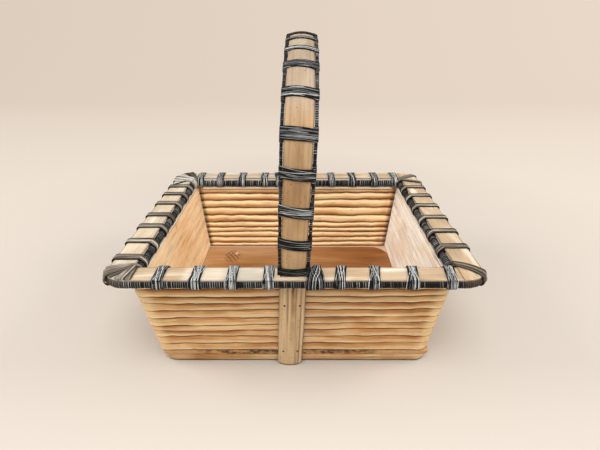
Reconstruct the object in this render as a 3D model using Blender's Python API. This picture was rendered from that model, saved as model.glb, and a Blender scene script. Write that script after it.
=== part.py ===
"""Rectangular cane basket on a wooden base board, with a wide bound rim and a tall hoop handle.

Metres, +Z up, origin at the middle of the basket on the ground. X runs along the long side of
the rim and Y across it, with the front wall at -Y.
"""

import math

import bmesh
import bpy
from mathutils import Vector

# Overall sizes of the rim slats, whose outer edges these lengths are measured over
RIM_LENGTH = 0.400
RIM_DEPTH = 0.349
RIM_TOP_HEIGHT = 0.136
SLAT_WIDTH = 0.0270
SLAT_THICKNESS = 0.0026
RIM_CORNER_RADIUS = 0.024
FIT_GAP = 0.0003

# Walls: how far their outer faces lie in from the rim's outer edge, at the rim and at the ground
LONG_WALL_TOP_INSET = 0.0150
LONG_WALL_GROUND_INSET = 0.0350
SHORT_WALL_TOP_INSET = 0.0215
SHORT_WALL_GROUND_INSET = 0.0420
WALL_THICKNESS = 0.0095
WALL_CORNER_RADIUS = 0.0125
ROD_ROUNDNESS_SHARE = 0.62
ROD_SIDES = 8
CORNER_RINGS = 3

# Base
HOOP_HEIGHT = 0.0118
HOOP_WIDTH = 0.0090
HOOP_INSET = 0.0005
HOOP_CORNER_RADIUS = 0.0130
HOOP_CHAMFER = 0.0018
BOARD_THICKNESS = 0.0050
BOARD_CORNER_RADIUS = 0.0070
BOARD_EDGE_BEVEL = 0.0006

# Split reed that lies on the walls and carries the rim
REED_THICKNESS = 0.0028
REED_WIDTH = 0.0100
REED_CORNER_RADIUS = 0.0125
REED_CHAMFER = 0.0007

# Bound edges of the rim: a thin cord under the outer edge, a tall one against the inner edge
OUTER_CORD_RADIUS = 0.0037
OUTER_CORD_INSET = 0.0012
OUTER_CORD_DROP = 0.0066
INNER_CORD_HALF_WIDTH = 0.0046
INNER_CORD_HALF_HEIGHT = 0.0056
INNER_CORD_OFFSET = 0.0020
INNER_CORD_CORNER_RADIUS = 0.0060
RIM_CORD_SIDES = 8
BAND_THICKNESS = 0.0014
RIM_BAND_WIDTH = 0.0125
KNOT_WIDTH = 0.0125
KNOT_THICKNESS = 0.0026
CORNER_WRAP_WIDTH = 0.0150
RIB_DEPTH = 0.0005
RIBS_PER_BAND = 2
OUTER_CORD_WRAP_DEGREES = (165, 215, 265)
INNER_CORD_WRAP_DEGREES = (-35, 15)

# Places of the crossing bands, as shares of the rim's length or depth from its middle
FRONT_BAND_SHARES = (-0.352, -0.255, -0.162, -0.068, 0.116, 0.205, 0.303, 0.402)
FRONT_KNOT_SHARE = 0.0608
BACK_BAND_SHARES = (-0.402, -0.319, -0.227, -0.135, 0.144, 0.232, 0.324, 0.408)
BACK_KNOT_SHARE = -0.0710
LEFT_BAND_SHARES = (-0.362, -0.246, -0.124, -0.020, 0.100, 0.206, 0.306)
RIGHT_BAND_SHARES = (-0.372, -0.286, -0.167, -0.043, 0.075, 0.189, 0.295)

# Heights of the ten rods of each wall, top to bottom, as shares of the mean rod
FRONT_ROD_SHARES = (0.76, 0.96, 0.86, 1.03, 1.09, 1.03, 0.92, 1.04, 1.16, 1.13)
BACK_ROD_SHARES = (0.93, 1.09, 1.24, 1.24, 1.19, 0.88, 0.83, 0.83, 0.86, 0.86)
LEFT_ROD_SHARES = (1.04, 0.94, 1.08, 1.00, 1.10, 0.92, 0.98, 1.02, 0.94, 0.98)
RIGHT_ROD_SHARES = (0.98, 1.06, 0.92, 1.04, 0.96, 1.08, 1.02, 0.90, 1.06, 0.98)

# Handle: one lath that runs up the front wall, over, and down the back wall
STRAP_WIDTH = 0.0290
LATH_WIDTH = 0.0256
LATH_TOP_WIDTH = 0.0270
LATH_TAPER_HEIGHT = 0.0180
LATH_THICKNESS = 0.0070
HANDLE_TOP_HEIGHT = 0.3632
HANDLE_FLARE_HEIGHT = 0.1300
HANDLE_FOOT_SHIFT = -0.0068
HANDLE_TOP_SHIFT = 0.0075
STRAP_CORNER_CUT = 0.0030
STRAP_CORNER_HEIGHT = 0.0060
LATH_PROFILE_SHARES = (
    (-0.5, 0.0), (0.5, 0.0), (0.5, 0.6), (0.27, 0.9), (0.0, 1.0), (-0.27, 0.9), (-0.5, 0.6),
)
FLARE_STEPS = 5
ARCH_STEPS = 13

# Binding of the handle
HANDLE_CORD_RADIUS = 0.0019
HANDLE_CORD_SIDES = 6
HANDLE_BAND_THICKNESS = 0.0013
HANDLE_BAND_WIDTH = 0.0128
HANDLE_TOP_BAND_WIDTH = 0.0100
HANDLE_FOOT_BAND_WIDTH = 0.0092
HANDLE_BAND_SHOULDER_DROP = 0.0014
# Middles of the crossing bands from the rim up to the top, as shares of half the arch
HANDLE_BAND_SHARES = (0.112, 0.217, 0.328, 0.433, 0.541, 0.649)
HANDLE_TOP_BAND_SHARES = (0.744, 0.849, 0.950)

# Nails through the strap
NAIL_HEAD_RADIUS = 0.0013
NAIL_HEAD_HEIGHT = 0.0006
NAIL_HEAD_SINK = 0.0008
NAIL_SHANK_RADIUS = 0.0007
NAIL_SHANK_LENGTH = 0.0110
NAIL_SPREAD = 0.0165
UPPER_NAIL_DROP = 0.0415
LOWER_NAIL_HEIGHT = 0.0235
NAIL_SIDES = 8
CUT_OVERRUN = 0.0020

LONG_WALL_SLOPE = (LONG_WALL_GROUND_INSET - LONG_WALL_TOP_INSET) / RIM_TOP_HEIGHT
SHORT_WALL_SLOPE = (SHORT_WALL_GROUND_INSET - SHORT_WALL_TOP_INSET) / RIM_TOP_HEIGHT
SLAT_BOTTOM_HEIGHT = RIM_TOP_HEIGHT - SLAT_THICKNESS
OUTER_CORD_HEIGHT = RIM_TOP_HEIGHT - OUTER_CORD_DROP
INNER_CORD_HEIGHT = SLAT_BOTTOM_HEIGHT - INNER_CORD_HALF_HEIGHT
INNER_CORD_INSET = SLAT_WIDTH + INNER_CORD_OFFSET
REED_TOP_HEIGHT = INNER_CORD_HEIGHT - INNER_CORD_HALF_HEIGHT - FIT_GAP
WALL_TOP_HEIGHT = REED_TOP_HEIGHT - REED_THICKNESS - FIT_GAP
BOARD_BOTTOM_HEIGHT = HOOP_HEIGHT + FIT_GAP
BOARD_TOP_HEIGHT = BOARD_BOTTOM_HEIGHT + BOARD_THICKNESS
WALL_BOTTOM_HEIGHT = BOARD_TOP_HEIGHT + FIT_GAP
UPPER_NAIL_HEIGHT = RIM_TOP_HEIGHT - UPPER_NAIL_DROP


def clear_scene():
    for item in list(bpy.data.objects):
        bpy.data.objects.remove(item, do_unlink=True)


def make_material(name, colour, roughness):
    material = bpy.data.materials.new(name)
    material.use_nodes = True
    shader = material.node_tree.nodes["Principled BSDF"]
    shader.inputs["Base Color"].default_value = (*colour, 1.0)
    shader.inputs["Roughness"].default_value = roughness
    shader.inputs["Metallic"].default_value = 0.0
    return material


def make_materials():
    return {
        "cane": make_material("peeled_cane", (0.62, 0.40, 0.19), 0.55),
        "slat": make_material("pale_slat", (0.70, 0.55, 0.37), 0.60),
        "lath": make_material("bamboo_lath", (0.50, 0.37, 0.23), 0.55),
        "board": make_material("base_board", (0.42, 0.20, 0.08), 0.60),
        "vine": make_material("dark_vine", (0.055, 0.055, 0.058), 0.50),
        "nail": make_material("dark_nail", (0.05, 0.035, 0.03), 0.55),
    }


def make_solid(name, points, faces, material):
    mesh = bpy.data.meshes.new(name)
    shape = bmesh.new()
    corners = [shape.verts.new(point) for point in points]
    for face in faces:
        shape.faces.new([corners[index] for index in face])
    bmesh.ops.recalc_face_normals(shape, faces=shape.faces)
    shape.to_mesh(mesh)
    shape.free()
    mesh.materials.append(material)
    mesh.shade_smooth()
    mesh.set_sharp_from_angle(angle=math.radians(50))
    item = bpy.data.objects.new(name, mesh)
    bpy.context.scene.collection.objects.link(item)
    return item


def loft(rings, closed=False):
    """Points and faces of a tube through rings of equal length, capped unless it closes."""
    count = len(rings[0])
    points = [point for ring in rings for point in ring]
    faces = []
    spans = len(rings) if closed else len(rings) - 1
    for span in range(spans):
        here = span * count
        there = (span + 1) % len(rings) * count
        for index in range(count):
            after = (index + 1) % count
            faces.append((here + index, here + after, there + after, there + index))
    if not closed:
        faces.append(tuple(range(count)))
        faces.append(tuple(len(points) - count + index for index in range(count)))
    return points, faces


def frame_ring(half_x, half_y, radius, profile, arc_steps=4):
    """Sections of a closed hoop round a rectangle; profile gives (inward, height) points."""
    rings = []
    for turn, (sign_x, sign_y) in enumerate(((1, 1), (-1, 1), (-1, -1), (1, -1))):
        centre = Vector((sign_x * (half_x - radius), sign_y * (half_y - radius), 0))
        for step in range(arc_steps + 1):
            angle = math.radians(90) * (turn + step / arc_steps)
            outward = Vector((math.cos(angle), math.sin(angle), 0))
            ring = []
            for inward, height in profile:
                ring.append(centre + outward * (radius - inward) + Vector((0, 0, height)))
            rings.append(ring)
    return rings


def chamfered_profile(width, bottom, top, chamfer):
    return (
        (chamfer, bottom), (width - chamfer, bottom),
        (width, bottom + chamfer), (width, top - chamfer),
        (width - chamfer, top), (chamfer, top),
        (0, top - chamfer), (0, bottom + chamfer),
    )


def oval_profile(inward, height, half_width, half_height, sides):
    profile = []
    for index in range(sides):
        angle = math.tau * (index + 0.5) / sides
        profile.append((inward + half_width * math.cos(angle), height + half_height * math.sin(angle)))
    return profile


def long_wall_inset(height):
    return LONG_WALL_GROUND_INSET - LONG_WALL_SLOPE * height


def short_wall_inset(height):
    return SHORT_WALL_GROUND_INSET - SHORT_WALL_SLOPE * height


def side_sizes(side):
    """Half the rim across the wall's facing direction, and half the rim along the wall."""
    if side in ("front", "back"):
        return RIM_DEPTH / 2, RIM_LENGTH / 2
    return RIM_LENGTH / 2, RIM_DEPTH / 2


def side_point(side, along, inward, height):
    """A point by its distance along the side, its distance in from the rim's edge, and its height."""
    reach = side_sizes(side)[0] - inward
    if side == "front":
        return Vector((along, -reach, height))
    if side == "back":
        return Vector((-along, reach, height))
    if side == "left":
        return Vector((-reach, -along, height))
    return Vector((reach, along, height))


def rod_section(bottom, top):
    """Rounded section of a rod as (depth into the wall, height) points."""
    section = []
    middle = (bottom + top) / 2
    for index in range(ROD_SIDES):
        angle = math.tau * (index + 0.5) / ROD_SIDES
        across = math.copysign(abs(math.cos(angle)) ** ROD_ROUNDNESS_SHARE, math.cos(angle))
        upward = math.copysign(abs(math.sin(angle)) ** ROD_ROUNDNESS_SHARE, math.sin(angle))
        depth = (1 - across) * WALL_THICKNESS / 2
        section.append((depth, middle + upward * (top - bottom) / 2))
    return section


def rod_ring(side, section, end, turn):
    """One ring of a rod near its end, where the wall turns round the corner by the angle turn."""
    half_along = side_sizes(side)[1]
    trim = FIT_GAP if turn > 0 else 0
    ring = []
    for depth, height in section:
        inset, end_inset = long_wall_inset(height), short_wall_inset(height)
        if side in ("left", "right"):
            inset, end_inset = end_inset, inset
        reach = WALL_CORNER_RADIUS - depth
        along = half_along - end_inset - WALL_CORNER_RADIUS + reach * math.sin(turn)
        if turn >= math.radians(45):
            along -= trim
        inward = inset + WALL_CORNER_RADIUS - reach * math.cos(turn)
        ring.append(side_point(side, end * along, inward, height))
    return ring


def make_rod(side, number, bottom, top, material):
    section = rod_section(bottom, top)
    turns = [math.radians(45) * step / (CORNER_RINGS - 1) for step in range(CORNER_RINGS)]
    rings = [rod_ring(side, section, -1, turn) for turn in reversed(turns)]
    rings += [rod_ring(side, section, 1, turn) for turn in turns]
    points, faces = loft(rings)
    return make_solid(f"{side}_rod_{number:02d}", points, faces, material)


def make_walls(material):
    rods = {}
    shares_by_side = {
        "front": FRONT_ROD_SHARES, "back": BACK_ROD_SHARES,
        "left": LEFT_ROD_SHARES, "right": RIGHT_ROD_SHARES,
    }
    for side, shares in shares_by_side.items():
        count = len(shares)
        free_height = WALL_TOP_HEIGHT - WALL_BOTTOM_HEIGHT - FIT_GAP * (count - 1)
        top = WALL_TOP_HEIGHT
        for index, share in enumerate(shares):
            height = free_height * share / sum(shares)
            rod = make_rod(side, index + 1, top - height, top, material)
            rods[rod.name] = (rod, top - height, top)
            top -= height + FIT_GAP
    return rods


def make_base(cane, wood):
    half_x = RIM_LENGTH / 2 - SHORT_WALL_GROUND_INSET - HOOP_INSET
    half_y = RIM_DEPTH / 2 - LONG_WALL_GROUND_INSET - HOOP_INSET
    profile = chamfered_profile(HOOP_WIDTH, 0, HOOP_HEIGHT, HOOP_CHAMFER)
    points, faces = loft(frame_ring(half_x, half_y, HOOP_CORNER_RADIUS, profile), closed=True)
    make_solid("base_hoop", points, faces, cane)

    half_x = RIM_LENGTH / 2 - short_wall_inset(BOARD_BOTTOM_HEIGHT)
    half_y = RIM_DEPTH / 2 - long_wall_inset(BOARD_BOTTOM_HEIGHT)
    levels = (
        (BOARD_EDGE_BEVEL, BOARD_BOTTOM_HEIGHT),
        (0, BOARD_BOTTOM_HEIGHT + BOARD_EDGE_BEVEL),
        (0, BOARD_TOP_HEIGHT - BOARD_EDGE_BEVEL),
        (BOARD_EDGE_BEVEL, BOARD_TOP_HEIGHT),
    )
    sections = frame_ring(half_x, half_y, BOARD_CORNER_RADIUS, levels)
    outlines = [[ring[level] for ring in sections] for level in range(len(levels))]
    points, faces = loft(outlines)
    make_solid("base_board", points, faces, wood)


def make_top_reed(material):
    profile = chamfered_profile(REED_WIDTH, REED_TOP_HEIGHT - REED_THICKNESS, REED_TOP_HEIGHT, REED_CHAMFER)
    half_x = RIM_LENGTH / 2 - short_wall_inset(WALL_TOP_HEIGHT)
    half_y = RIM_DEPTH / 2 - long_wall_inset(WALL_TOP_HEIGHT)
    points, faces = loft(frame_ring(half_x, half_y, REED_CORNER_RADIUS, profile), closed=True)
    make_solid("top_reed", points, faces, material)


def extrude_outline(name, outline, material):
    """A flat slat from its outline, which runs round in the rim's plane."""
    rings = []
    for height in (SLAT_BOTTOM_HEIGHT, RIM_TOP_HEIGHT):
        rings.append([Vector((point.x, point.y, height)) for point in outline])
    points, faces = loft(rings)
    return make_solid(name, points, faces, material)


def make_side_slat(side, material, arc_steps=4):
    """A slat that runs the full depth of the rim, with its two outer corners rounded."""
    half_along = RIM_DEPTH / 2
    outline = [side_point(side, half_along, SLAT_WIDTH, 0), side_point(side, -half_along, SLAT_WIDTH, 0)]
    for end in (-1, 1):
        for step in range(arc_steps + 1):
            angle = math.radians(90) * (step if end < 0 else arc_steps - step) / arc_steps
            along = half_along - RIM_CORNER_RADIUS * (1 - math.cos(angle))
            inward = RIM_CORNER_RADIUS * (1 - math.sin(angle))
            outline.append(side_point(side, end * along, inward, 0))
    return extrude_outline(f"{side}_rim_slat", outline, material)


def make_end_slat(side, material):
    """A slat butted between the side slats, notched at its inner edge for the handle's lath."""
    half_along = RIM_LENGTH / 2 - SLAT_WIDTH - FIT_GAP
    centre = handle_shift(RIM_TOP_HEIGHT)
    if side == "back":
        centre = -centre
    notch_half = lath_width(SLAT_BOTTOM_HEIGHT) / 2 + 2 * FIT_GAP
    strap_inset = long_wall_inset(RIM_TOP_HEIGHT) - FIT_GAP - LATH_THICKNESS
    notch_inset = strap_inset - FIT_GAP
    corners = (
        (half_along, 0), (half_along, SLAT_WIDTH),
        (centre + notch_half, SLAT_WIDTH), (centre + notch_half, notch_inset),
        (centre - notch_half, notch_inset), (centre - notch_half, SLAT_WIDTH),
        (-half_along, SLAT_WIDTH), (-half_along, 0),
    )
    outline = [side_point(side, along, inward, 0) for along, inward in corners]
    return extrude_outline(f"{side}_rim_slat", outline, material)


def make_slats(material):
    for side in ("left", "right"):
        make_side_slat(side, material)
    for side in ("front", "back"):
        make_end_slat(side, material)


def rail_band_loops(rail_width, thickness):
    """Outer and inner outline of a band round one rail, as (inward, height) points."""
    top = RIM_TOP_HEIGHT + FIT_GAP
    under = SLAT_BOTTOM_HEIGHT - FIT_GAP
    reach = OUTER_CORD_RADIUS + thickness
    inner_cord = rail_width + INNER_CORD_OFFSET
    outer = [(thickness, top + thickness), (-FIT_GAP - thickness / 2, RIM_TOP_HEIGHT)]
    for degrees in OUTER_CORD_WRAP_DEGREES:
        angle = math.radians(degrees)
        outer.append((OUTER_CORD_INSET + reach * math.cos(angle), OUTER_CORD_HEIGHT + reach * math.sin(angle)))
    outer.append((OUTER_CORD_INSET, OUTER_CORD_HEIGHT))
    outer.append((OUTER_CORD_INSET + OUTER_CORD_RADIUS, under - BAND_THICKNESS))
    outer.append((inner_cord - INNER_CORD_HALF_WIDTH, under - BAND_THICKNESS))
    outer.append((inner_cord, INNER_CORD_HEIGHT))
    for degrees in INNER_CORD_WRAP_DEGREES:
        angle = math.radians(degrees)
        outer.append((
            inner_cord + (INNER_CORD_HALF_WIDTH + thickness) * math.cos(angle),
            INNER_CORD_HEIGHT + (INNER_CORD_HALF_HEIGHT + thickness) * math.sin(angle),
        ))
    outer.append((rail_width + FIT_GAP + thickness / 2, RIM_TOP_HEIGHT))
    outer.append((rail_width - thickness, top + thickness))
    inner = [(-FIT_GAP, top), (-FIT_GAP, under), (rail_width + FIT_GAP, under), (rail_width + FIT_GAP, top)]
    return outer, inner


def band_mesh(outer_rings, inner_rings):
    """A band with ribs: a tube with a hole through it, closed at both ends round the hole."""
    outer_points, outer_faces = loft(outer_rings)
    inner_points, inner_faces = loft(inner_rings)
    outer_faces = outer_faces[:-2]
    inner_faces = inner_faces[:-2]
    shift = len(outer_points)
    points = outer_points + inner_points
    faces = outer_faces + [tuple(shift + index for index in face) for face in inner_faces]
    outer_count = len(outer_rings[0])
    inner_count = len(inner_rings[0])
    outer_last = len(outer_points) - outer_count
    inner_last = len(points) - inner_count
    for outer_start, inner_start in ((0, shift), (outer_last, inner_last)):
        faces += cap_faces(points, outer_start, outer_count, inner_start, inner_count)
    return points, faces


def cap_faces(points, outer_start, outer_count, inner_start, inner_count):
    """Triangles that close the flat ring between an outer loop and the loop of its hole."""
    nearest = []
    for index in range(outer_count):
        corner = points[outer_start + index]
        distances = [(points[inner_start + hole] - corner).length for hole in range(inner_count)]
        nearest.append(distances.index(min(distances)))
    faces = []
    for index in range(outer_count):
        after = (index + 1) % outer_count
        here, there = nearest[index], nearest[after]
        faces.append((outer_start + index, outer_start + after, inner_start + here))
        while here != there:
            step = 1 if (there - here) % inner_count <= inner_count / 2 else -1
            following = (here + step) % inner_count
            faces.append((outer_start + after, inner_start + here, inner_start + following))
            here = following
    return faces


def rib_stations(width, ribs):
    """Places along a band, and how far its surface sinks there, for the given count of ribs."""
    stations = []
    for step in range(2 * ribs + 1):
        along = width * (step / (2 * ribs) - 0.5)
        stations.append((along, 0 if step % 2 else RIB_DEPTH))
    return stations


def add_body(points, faces, body):
    shift = len(points)
    points += body[0]
    faces += [tuple(shift + index for index in face) for face in body[1]]


def rim_band(side, place, width=RIM_BAND_WIDTH, thickness=BAND_THICKNESS):
    outer_rings, inner_rings = [], []
    for along, sink in rib_stations(width, RIBS_PER_BAND):
        outer, inner = rail_band_loops(SLAT_WIDTH, thickness - sink)
        outer_rings.append([side_point(side, place + along, inward, height) for inward, height in outer])
        inner_rings.append([side_point(side, place + along, inward, height) for inward, height in inner])
    return band_mesh(outer_rings, [inner_rings[0], inner_rings[-1]])


def corner_band(sign_x, sign_y):
    """A band laid across the rim's corner on its diagonal, which falls back with the rounding."""
    diagonal = Vector((sign_x, sign_y, 0)).normalized()
    sideways = Vector((-diagonal.y, diagonal.x, 0))
    rounding = RIM_CORNER_RADIUS * (math.sqrt(2) - 1)
    tip = Vector((sign_x * RIM_LENGTH / 2, sign_y * RIM_DEPTH / 2, 0)) - diagonal * rounding
    outer_rings, inner_rings = [], []
    for along, sink in rib_stations(CORNER_WRAP_WIDTH, RIBS_PER_BAND):
        fall = RIM_CORNER_RADIUS - math.sqrt(RIM_CORNER_RADIUS ** 2 - along ** 2)
        rail_width = SLAT_WIDTH * math.sqrt(2) - rounding + abs(along) - fall
        outer, inner = rail_band_loops(rail_width, BAND_THICKNESS - sink)
        for rings, profile in ((outer_rings, outer), (inner_rings, inner)):
            ring = []
            for inward, height in profile:
                place = tip - diagonal * (inward + fall) + sideways * along
                ring.append(place + Vector((0, 0, height)))
            rings.append(ring)
    return band_mesh(outer_rings, inner_rings)


def join_with(item, operand_points, operand_faces, material):
    """Unites an object with loose bodies that meet it, which are kept as a hidden cutter."""
    operand = make_solid(f"{item.name}_bands", operand_points, operand_faces, material)
    operand.hide_render = True
    operand.display_type = "WIRE"
    union = item.modifiers.new("bands", "BOOLEAN")
    union.operation = "UNION"
    union.object = operand
    union.use_self = True


def make_rim_lashing(material):
    points, faces = [], []
    profile = oval_profile(OUTER_CORD_INSET, OUTER_CORD_HEIGHT, OUTER_CORD_RADIUS, OUTER_CORD_RADIUS, RIM_CORD_SIDES)
    rings = frame_ring(RIM_LENGTH / 2, RIM_DEPTH / 2, RIM_CORNER_RADIUS, profile)
    add_body(points, faces, loft(rings, closed=True))
    profile = oval_profile(
        INNER_CORD_CORNER_RADIUS, INNER_CORD_HEIGHT, INNER_CORD_HALF_WIDTH, INNER_CORD_HALF_HEIGHT, RIM_CORD_SIDES
    )
    half_x = RIM_LENGTH / 2 - INNER_CORD_INSET + INNER_CORD_CORNER_RADIUS
    half_y = RIM_DEPTH / 2 - INNER_CORD_INSET + INNER_CORD_CORNER_RADIUS
    rings = frame_ring(half_x, half_y, INNER_CORD_CORNER_RADIUS * 2, profile, arc_steps=3)
    add_body(points, faces, loft(rings, closed=True))
    lashing = make_solid("rim_lashing", points, faces, material)

    band_points, band_faces = [], []
    for share in FRONT_BAND_SHARES:
        add_body(band_points, band_faces, rim_band("front", share * RIM_LENGTH))
    for share in BACK_BAND_SHARES:
        add_body(band_points, band_faces, rim_band("back", -share * RIM_LENGTH))
    for share in LEFT_BAND_SHARES:
        add_body(band_points, band_faces, rim_band("left", -share * RIM_DEPTH))
    for share in RIGHT_BAND_SHARES:
        add_body(band_points, band_faces, rim_band("right", share * RIM_DEPTH))
    front_knot = rim_band("front", FRONT_KNOT_SHARE * RIM_LENGTH, KNOT_WIDTH, KNOT_THICKNESS)
    back_knot = rim_band("back", -BACK_KNOT_SHARE * RIM_LENGTH, KNOT_WIDTH, KNOT_THICKNESS)
    add_body(band_points, band_faces, front_knot)
    add_body(band_points, band_faces, back_knot)
    for sign_x in (-1, 1):
        for sign_y in (-1, 1):
            add_body(band_points, band_faces, corner_band(sign_x, sign_y))
    join_with(lashing, band_points, band_faces, material)


def handle_shift(height):
    """How far the handle's middle lies to the right of the basket's middle at a height."""
    return HANDLE_FOOT_SHIFT + (HANDLE_TOP_SHIFT - HANDLE_FOOT_SHIFT) * height / HANDLE_TOP_HEIGHT


def strap_reach(height):
    """Distance from the basket's middle to the middle of the strap's thickness."""
    return RIM_DEPTH / 2 - long_wall_inset(height) + FIT_GAP + LATH_THICKNESS / 2


def lath_stations():
    """Front half of the lath: (y, z, outward direction) from the ground to the top of the arch."""
    outward = Vector((0, -1, 0))
    stations = []
    taper_start = RIM_TOP_HEIGHT - LATH_TAPER_HEIGHT
    for height in (0, STRAP_CORNER_HEIGHT / 2, STRAP_CORNER_HEIGHT, taper_start, RIM_TOP_HEIGHT):
        stations.append((-strap_reach(height), height, outward))
    upright_height = RIM_TOP_HEIGHT + HANDLE_FLARE_HEIGHT
    bulge = LONG_WALL_SLOPE * HANDLE_FLARE_HEIGHT / 2
    half_span = strap_reach(RIM_TOP_HEIGHT) + bulge
    rise = HANDLE_TOP_HEIGHT - LATH_THICKNESS / 2 - upright_height
    for step in range(1, FLARE_STEPS):
        share = step / FLARE_STEPS
        height = RIM_TOP_HEIGHT + HANDLE_FLARE_HEIGHT * share
        slope = LONG_WALL_SLOPE * (1 - share)
        reach = half_span - bulge * (1 - share) ** 2
        stations.append((-reach, height, Vector((0, -1, slope)).normalized()))
    for step in range(ARCH_STEPS + 1):
        angle = math.radians(90) * step / ARCH_STEPS
        outward = Vector((0, -math.cos(angle) / half_span, math.sin(angle) / rise)).normalized()
        stations.append((-half_span * math.cos(angle), upright_height + rise * math.sin(angle), outward))
    return stations


def whole_lath_stations():
    """The lath's stations from the front foot over the top to the back foot."""
    front = lath_stations()
    back = [(-y, z, Vector((0, -outward.y, outward.z))) for y, z, outward in reversed(front[:-1])]
    return front + back


def lath_width(height):
    taper = min(1, max(0, (height - RIM_TOP_HEIGHT) / LATH_TAPER_HEIGHT + 1))
    spread = min(1, max(0, (height - RIM_TOP_HEIGHT) / HANDLE_FLARE_HEIGHT))
    width = STRAP_WIDTH + (LATH_WIDTH - STRAP_WIDTH) * taper + (LATH_TOP_WIDTH - LATH_WIDTH) * spread
    if height < STRAP_CORNER_HEIGHT:
        missing = 1 - height / STRAP_CORNER_HEIGHT
        width -= 2 * STRAP_CORNER_CUT * missing ** 2
    return width


def handle_point(station, across, outward_distance):
    y, z, outward = station
    point = Vector((handle_shift(z) + across, y, z)) + outward * outward_distance
    return point


def make_lath(material):
    rings = []
    for station in whole_lath_stations():
        width = lath_width(station[1])
        ring = []
        for across_share, depth_share in LATH_PROFILE_SHARES:
            ring.append(handle_point(station, across_share * width, (depth_share - 0.5) * LATH_THICKNESS))
        rings.append(ring)
    points, faces = loft(rings)
    return make_solid("handle_lath", points, faces, material)


def arch_stations():
    """Stations above the rim, with the distance of each from the front rim along the arch."""
    kept = [station for station in whole_lath_stations() if station[1] >= RIM_TOP_HEIGHT]
    distances = [0]
    for before, after in zip(kept, kept[1:]):
        distances.append(distances[-1] + math.hypot(after[0] - before[0], after[1] - before[1]))
    return kept, distances


def station_at(stations, distances, place):
    """The station at a distance along the arch, read between its neighbours."""
    place = min(max(place, distances[0]), distances[-1])
    index = 1
    while distances[index] < place:
        index += 1
    span = distances[index] - distances[index - 1]
    share = (place - distances[index - 1]) / span
    y0, z0, outward0 = stations[index - 1]
    y1, z1, outward1 = stations[index]
    outward = outward0.lerp(outward1, share).normalized()
    return y0 + (y1 - y0) * share, z0 + (z1 - z0) * share, outward


def handle_band_loops(width, thickness):
    """Outer and inner outline of a band round the handle, as (across, outward) points."""
    inner = []
    widened = 1 + 2 * FIT_GAP / width
    for across_share, depth_share in LATH_PROFILE_SHARES:
        outward = (depth_share - 0.5) * LATH_THICKNESS
        outward += FIT_GAP if depth_share > 0 else -FIT_GAP
        inner.append((across_share * width * widened, outward))
    edge = width / 2 + FIT_GAP
    back = -LATH_THICKNESS / 2 - FIT_GAP - thickness
    crown = LATH_THICKNESS / 2 + FIT_GAP + thickness
    shoulder = crown - HANDLE_BAND_SHOULDER_DROP
    side = edge + 2 * HANDLE_CORD_RADIUS + thickness / 2
    flank = HANDLE_CORD_RADIUS / 2
    outer = [
        (-edge, back), (edge, back), (side, -flank), (side, flank), (edge, shoulder),
        (0, crown), (-edge, shoulder), (-side, flank), (-side, -flank),
    ]
    return outer, inner


def handle_band(stations, distances, place, width):
    """A band round the handle, whose hole bends only where the lath does."""
    outer_rings, inner_rings = [], []
    for along, sink in rib_stations(width, RIBS_PER_BAND):
        station = station_at(stations, distances, place + along)
        outer, _ = handle_band_loops(lath_width(station[1]), HANDLE_BAND_THICKNESS - sink)
        outer_rings.append([handle_point(station, across, outward) for across, outward in outer])
    start, end = place - width / 2, place + width / 2
    bends = [distance for distance in distances if start < distance < end]
    for distance in [start] + bends + [end]:
        station = station_at(stations, distances, distance)
        _, inner = handle_band_loops(lath_width(station[1]), HANDLE_BAND_THICKNESS)
        inner_rings.append([handle_point(station, across, outward) for across, outward in inner])
    return band_mesh(outer_rings, inner_rings)


def make_handle_lashing(material):
    stations, distances = arch_stations()
    length = distances[-1]
    points, faces = [], []
    start = FIT_GAP + HANDLE_CORD_RADIUS * LONG_WALL_SLOPE + FIT_GAP
    inner_distances = [place for place in distances if start < place < length - start]
    places = [start] + inner_distances + [length - start]
    for sign in (-1, 1):
        rings = []
        for place in places:
            station = station_at(stations, distances, place)
            across = sign * (lath_width(station[1]) / 2 + FIT_GAP + HANDLE_CORD_RADIUS)
            ring = []
            for index in range(HANDLE_CORD_SIDES):
                angle = math.tau * (index + 0.5) / HANDLE_CORD_SIDES
                sideways = across + HANDLE_CORD_RADIUS * math.cos(angle)
                ring.append(handle_point(station, sideways, HANDLE_CORD_RADIUS * math.sin(angle)))
            rings.append(ring)
        add_body(points, faces, loft(rings))
    lashing = make_solid("handle_lashing", points, faces, material)

    band_points, band_faces = [], []
    foot = start + FIT_GAP + HANDLE_FOOT_BAND_WIDTH / 2
    bands = [(foot, HANDLE_FOOT_BAND_WIDTH)]
    bands += [(share * length / 2, HANDLE_BAND_WIDTH) for share in HANDLE_BAND_SHARES]
    bands += [(share * length / 2, HANDLE_TOP_BAND_WIDTH) for share in HANDLE_TOP_BAND_SHARES]
    for place, width in bands:
        for middle in (place, length - place):
            add_body(band_points, band_faces, handle_band(stations, distances, middle, width))
    join_with(lashing, band_points, band_faces, material)


def turned_solid(name, place, inward, levels, material):
    """A round solid along the driving direction, from (depth, radius) levels."""
    upward = Vector((0, 0, 1))
    sideways = inward.cross(upward)
    rings = []
    for depth, radius in levels:
        ring = []
        for index in range(NAIL_SIDES):
            angle = math.tau * index / NAIL_SIDES
            spoke = sideways * math.cos(angle) + upward * math.sin(angle)
            ring.append(place + inward * depth + spoke * radius)
        rings.append(ring)
    points, faces = loft(rings)
    return make_solid(name, points, faces, material)


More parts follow.
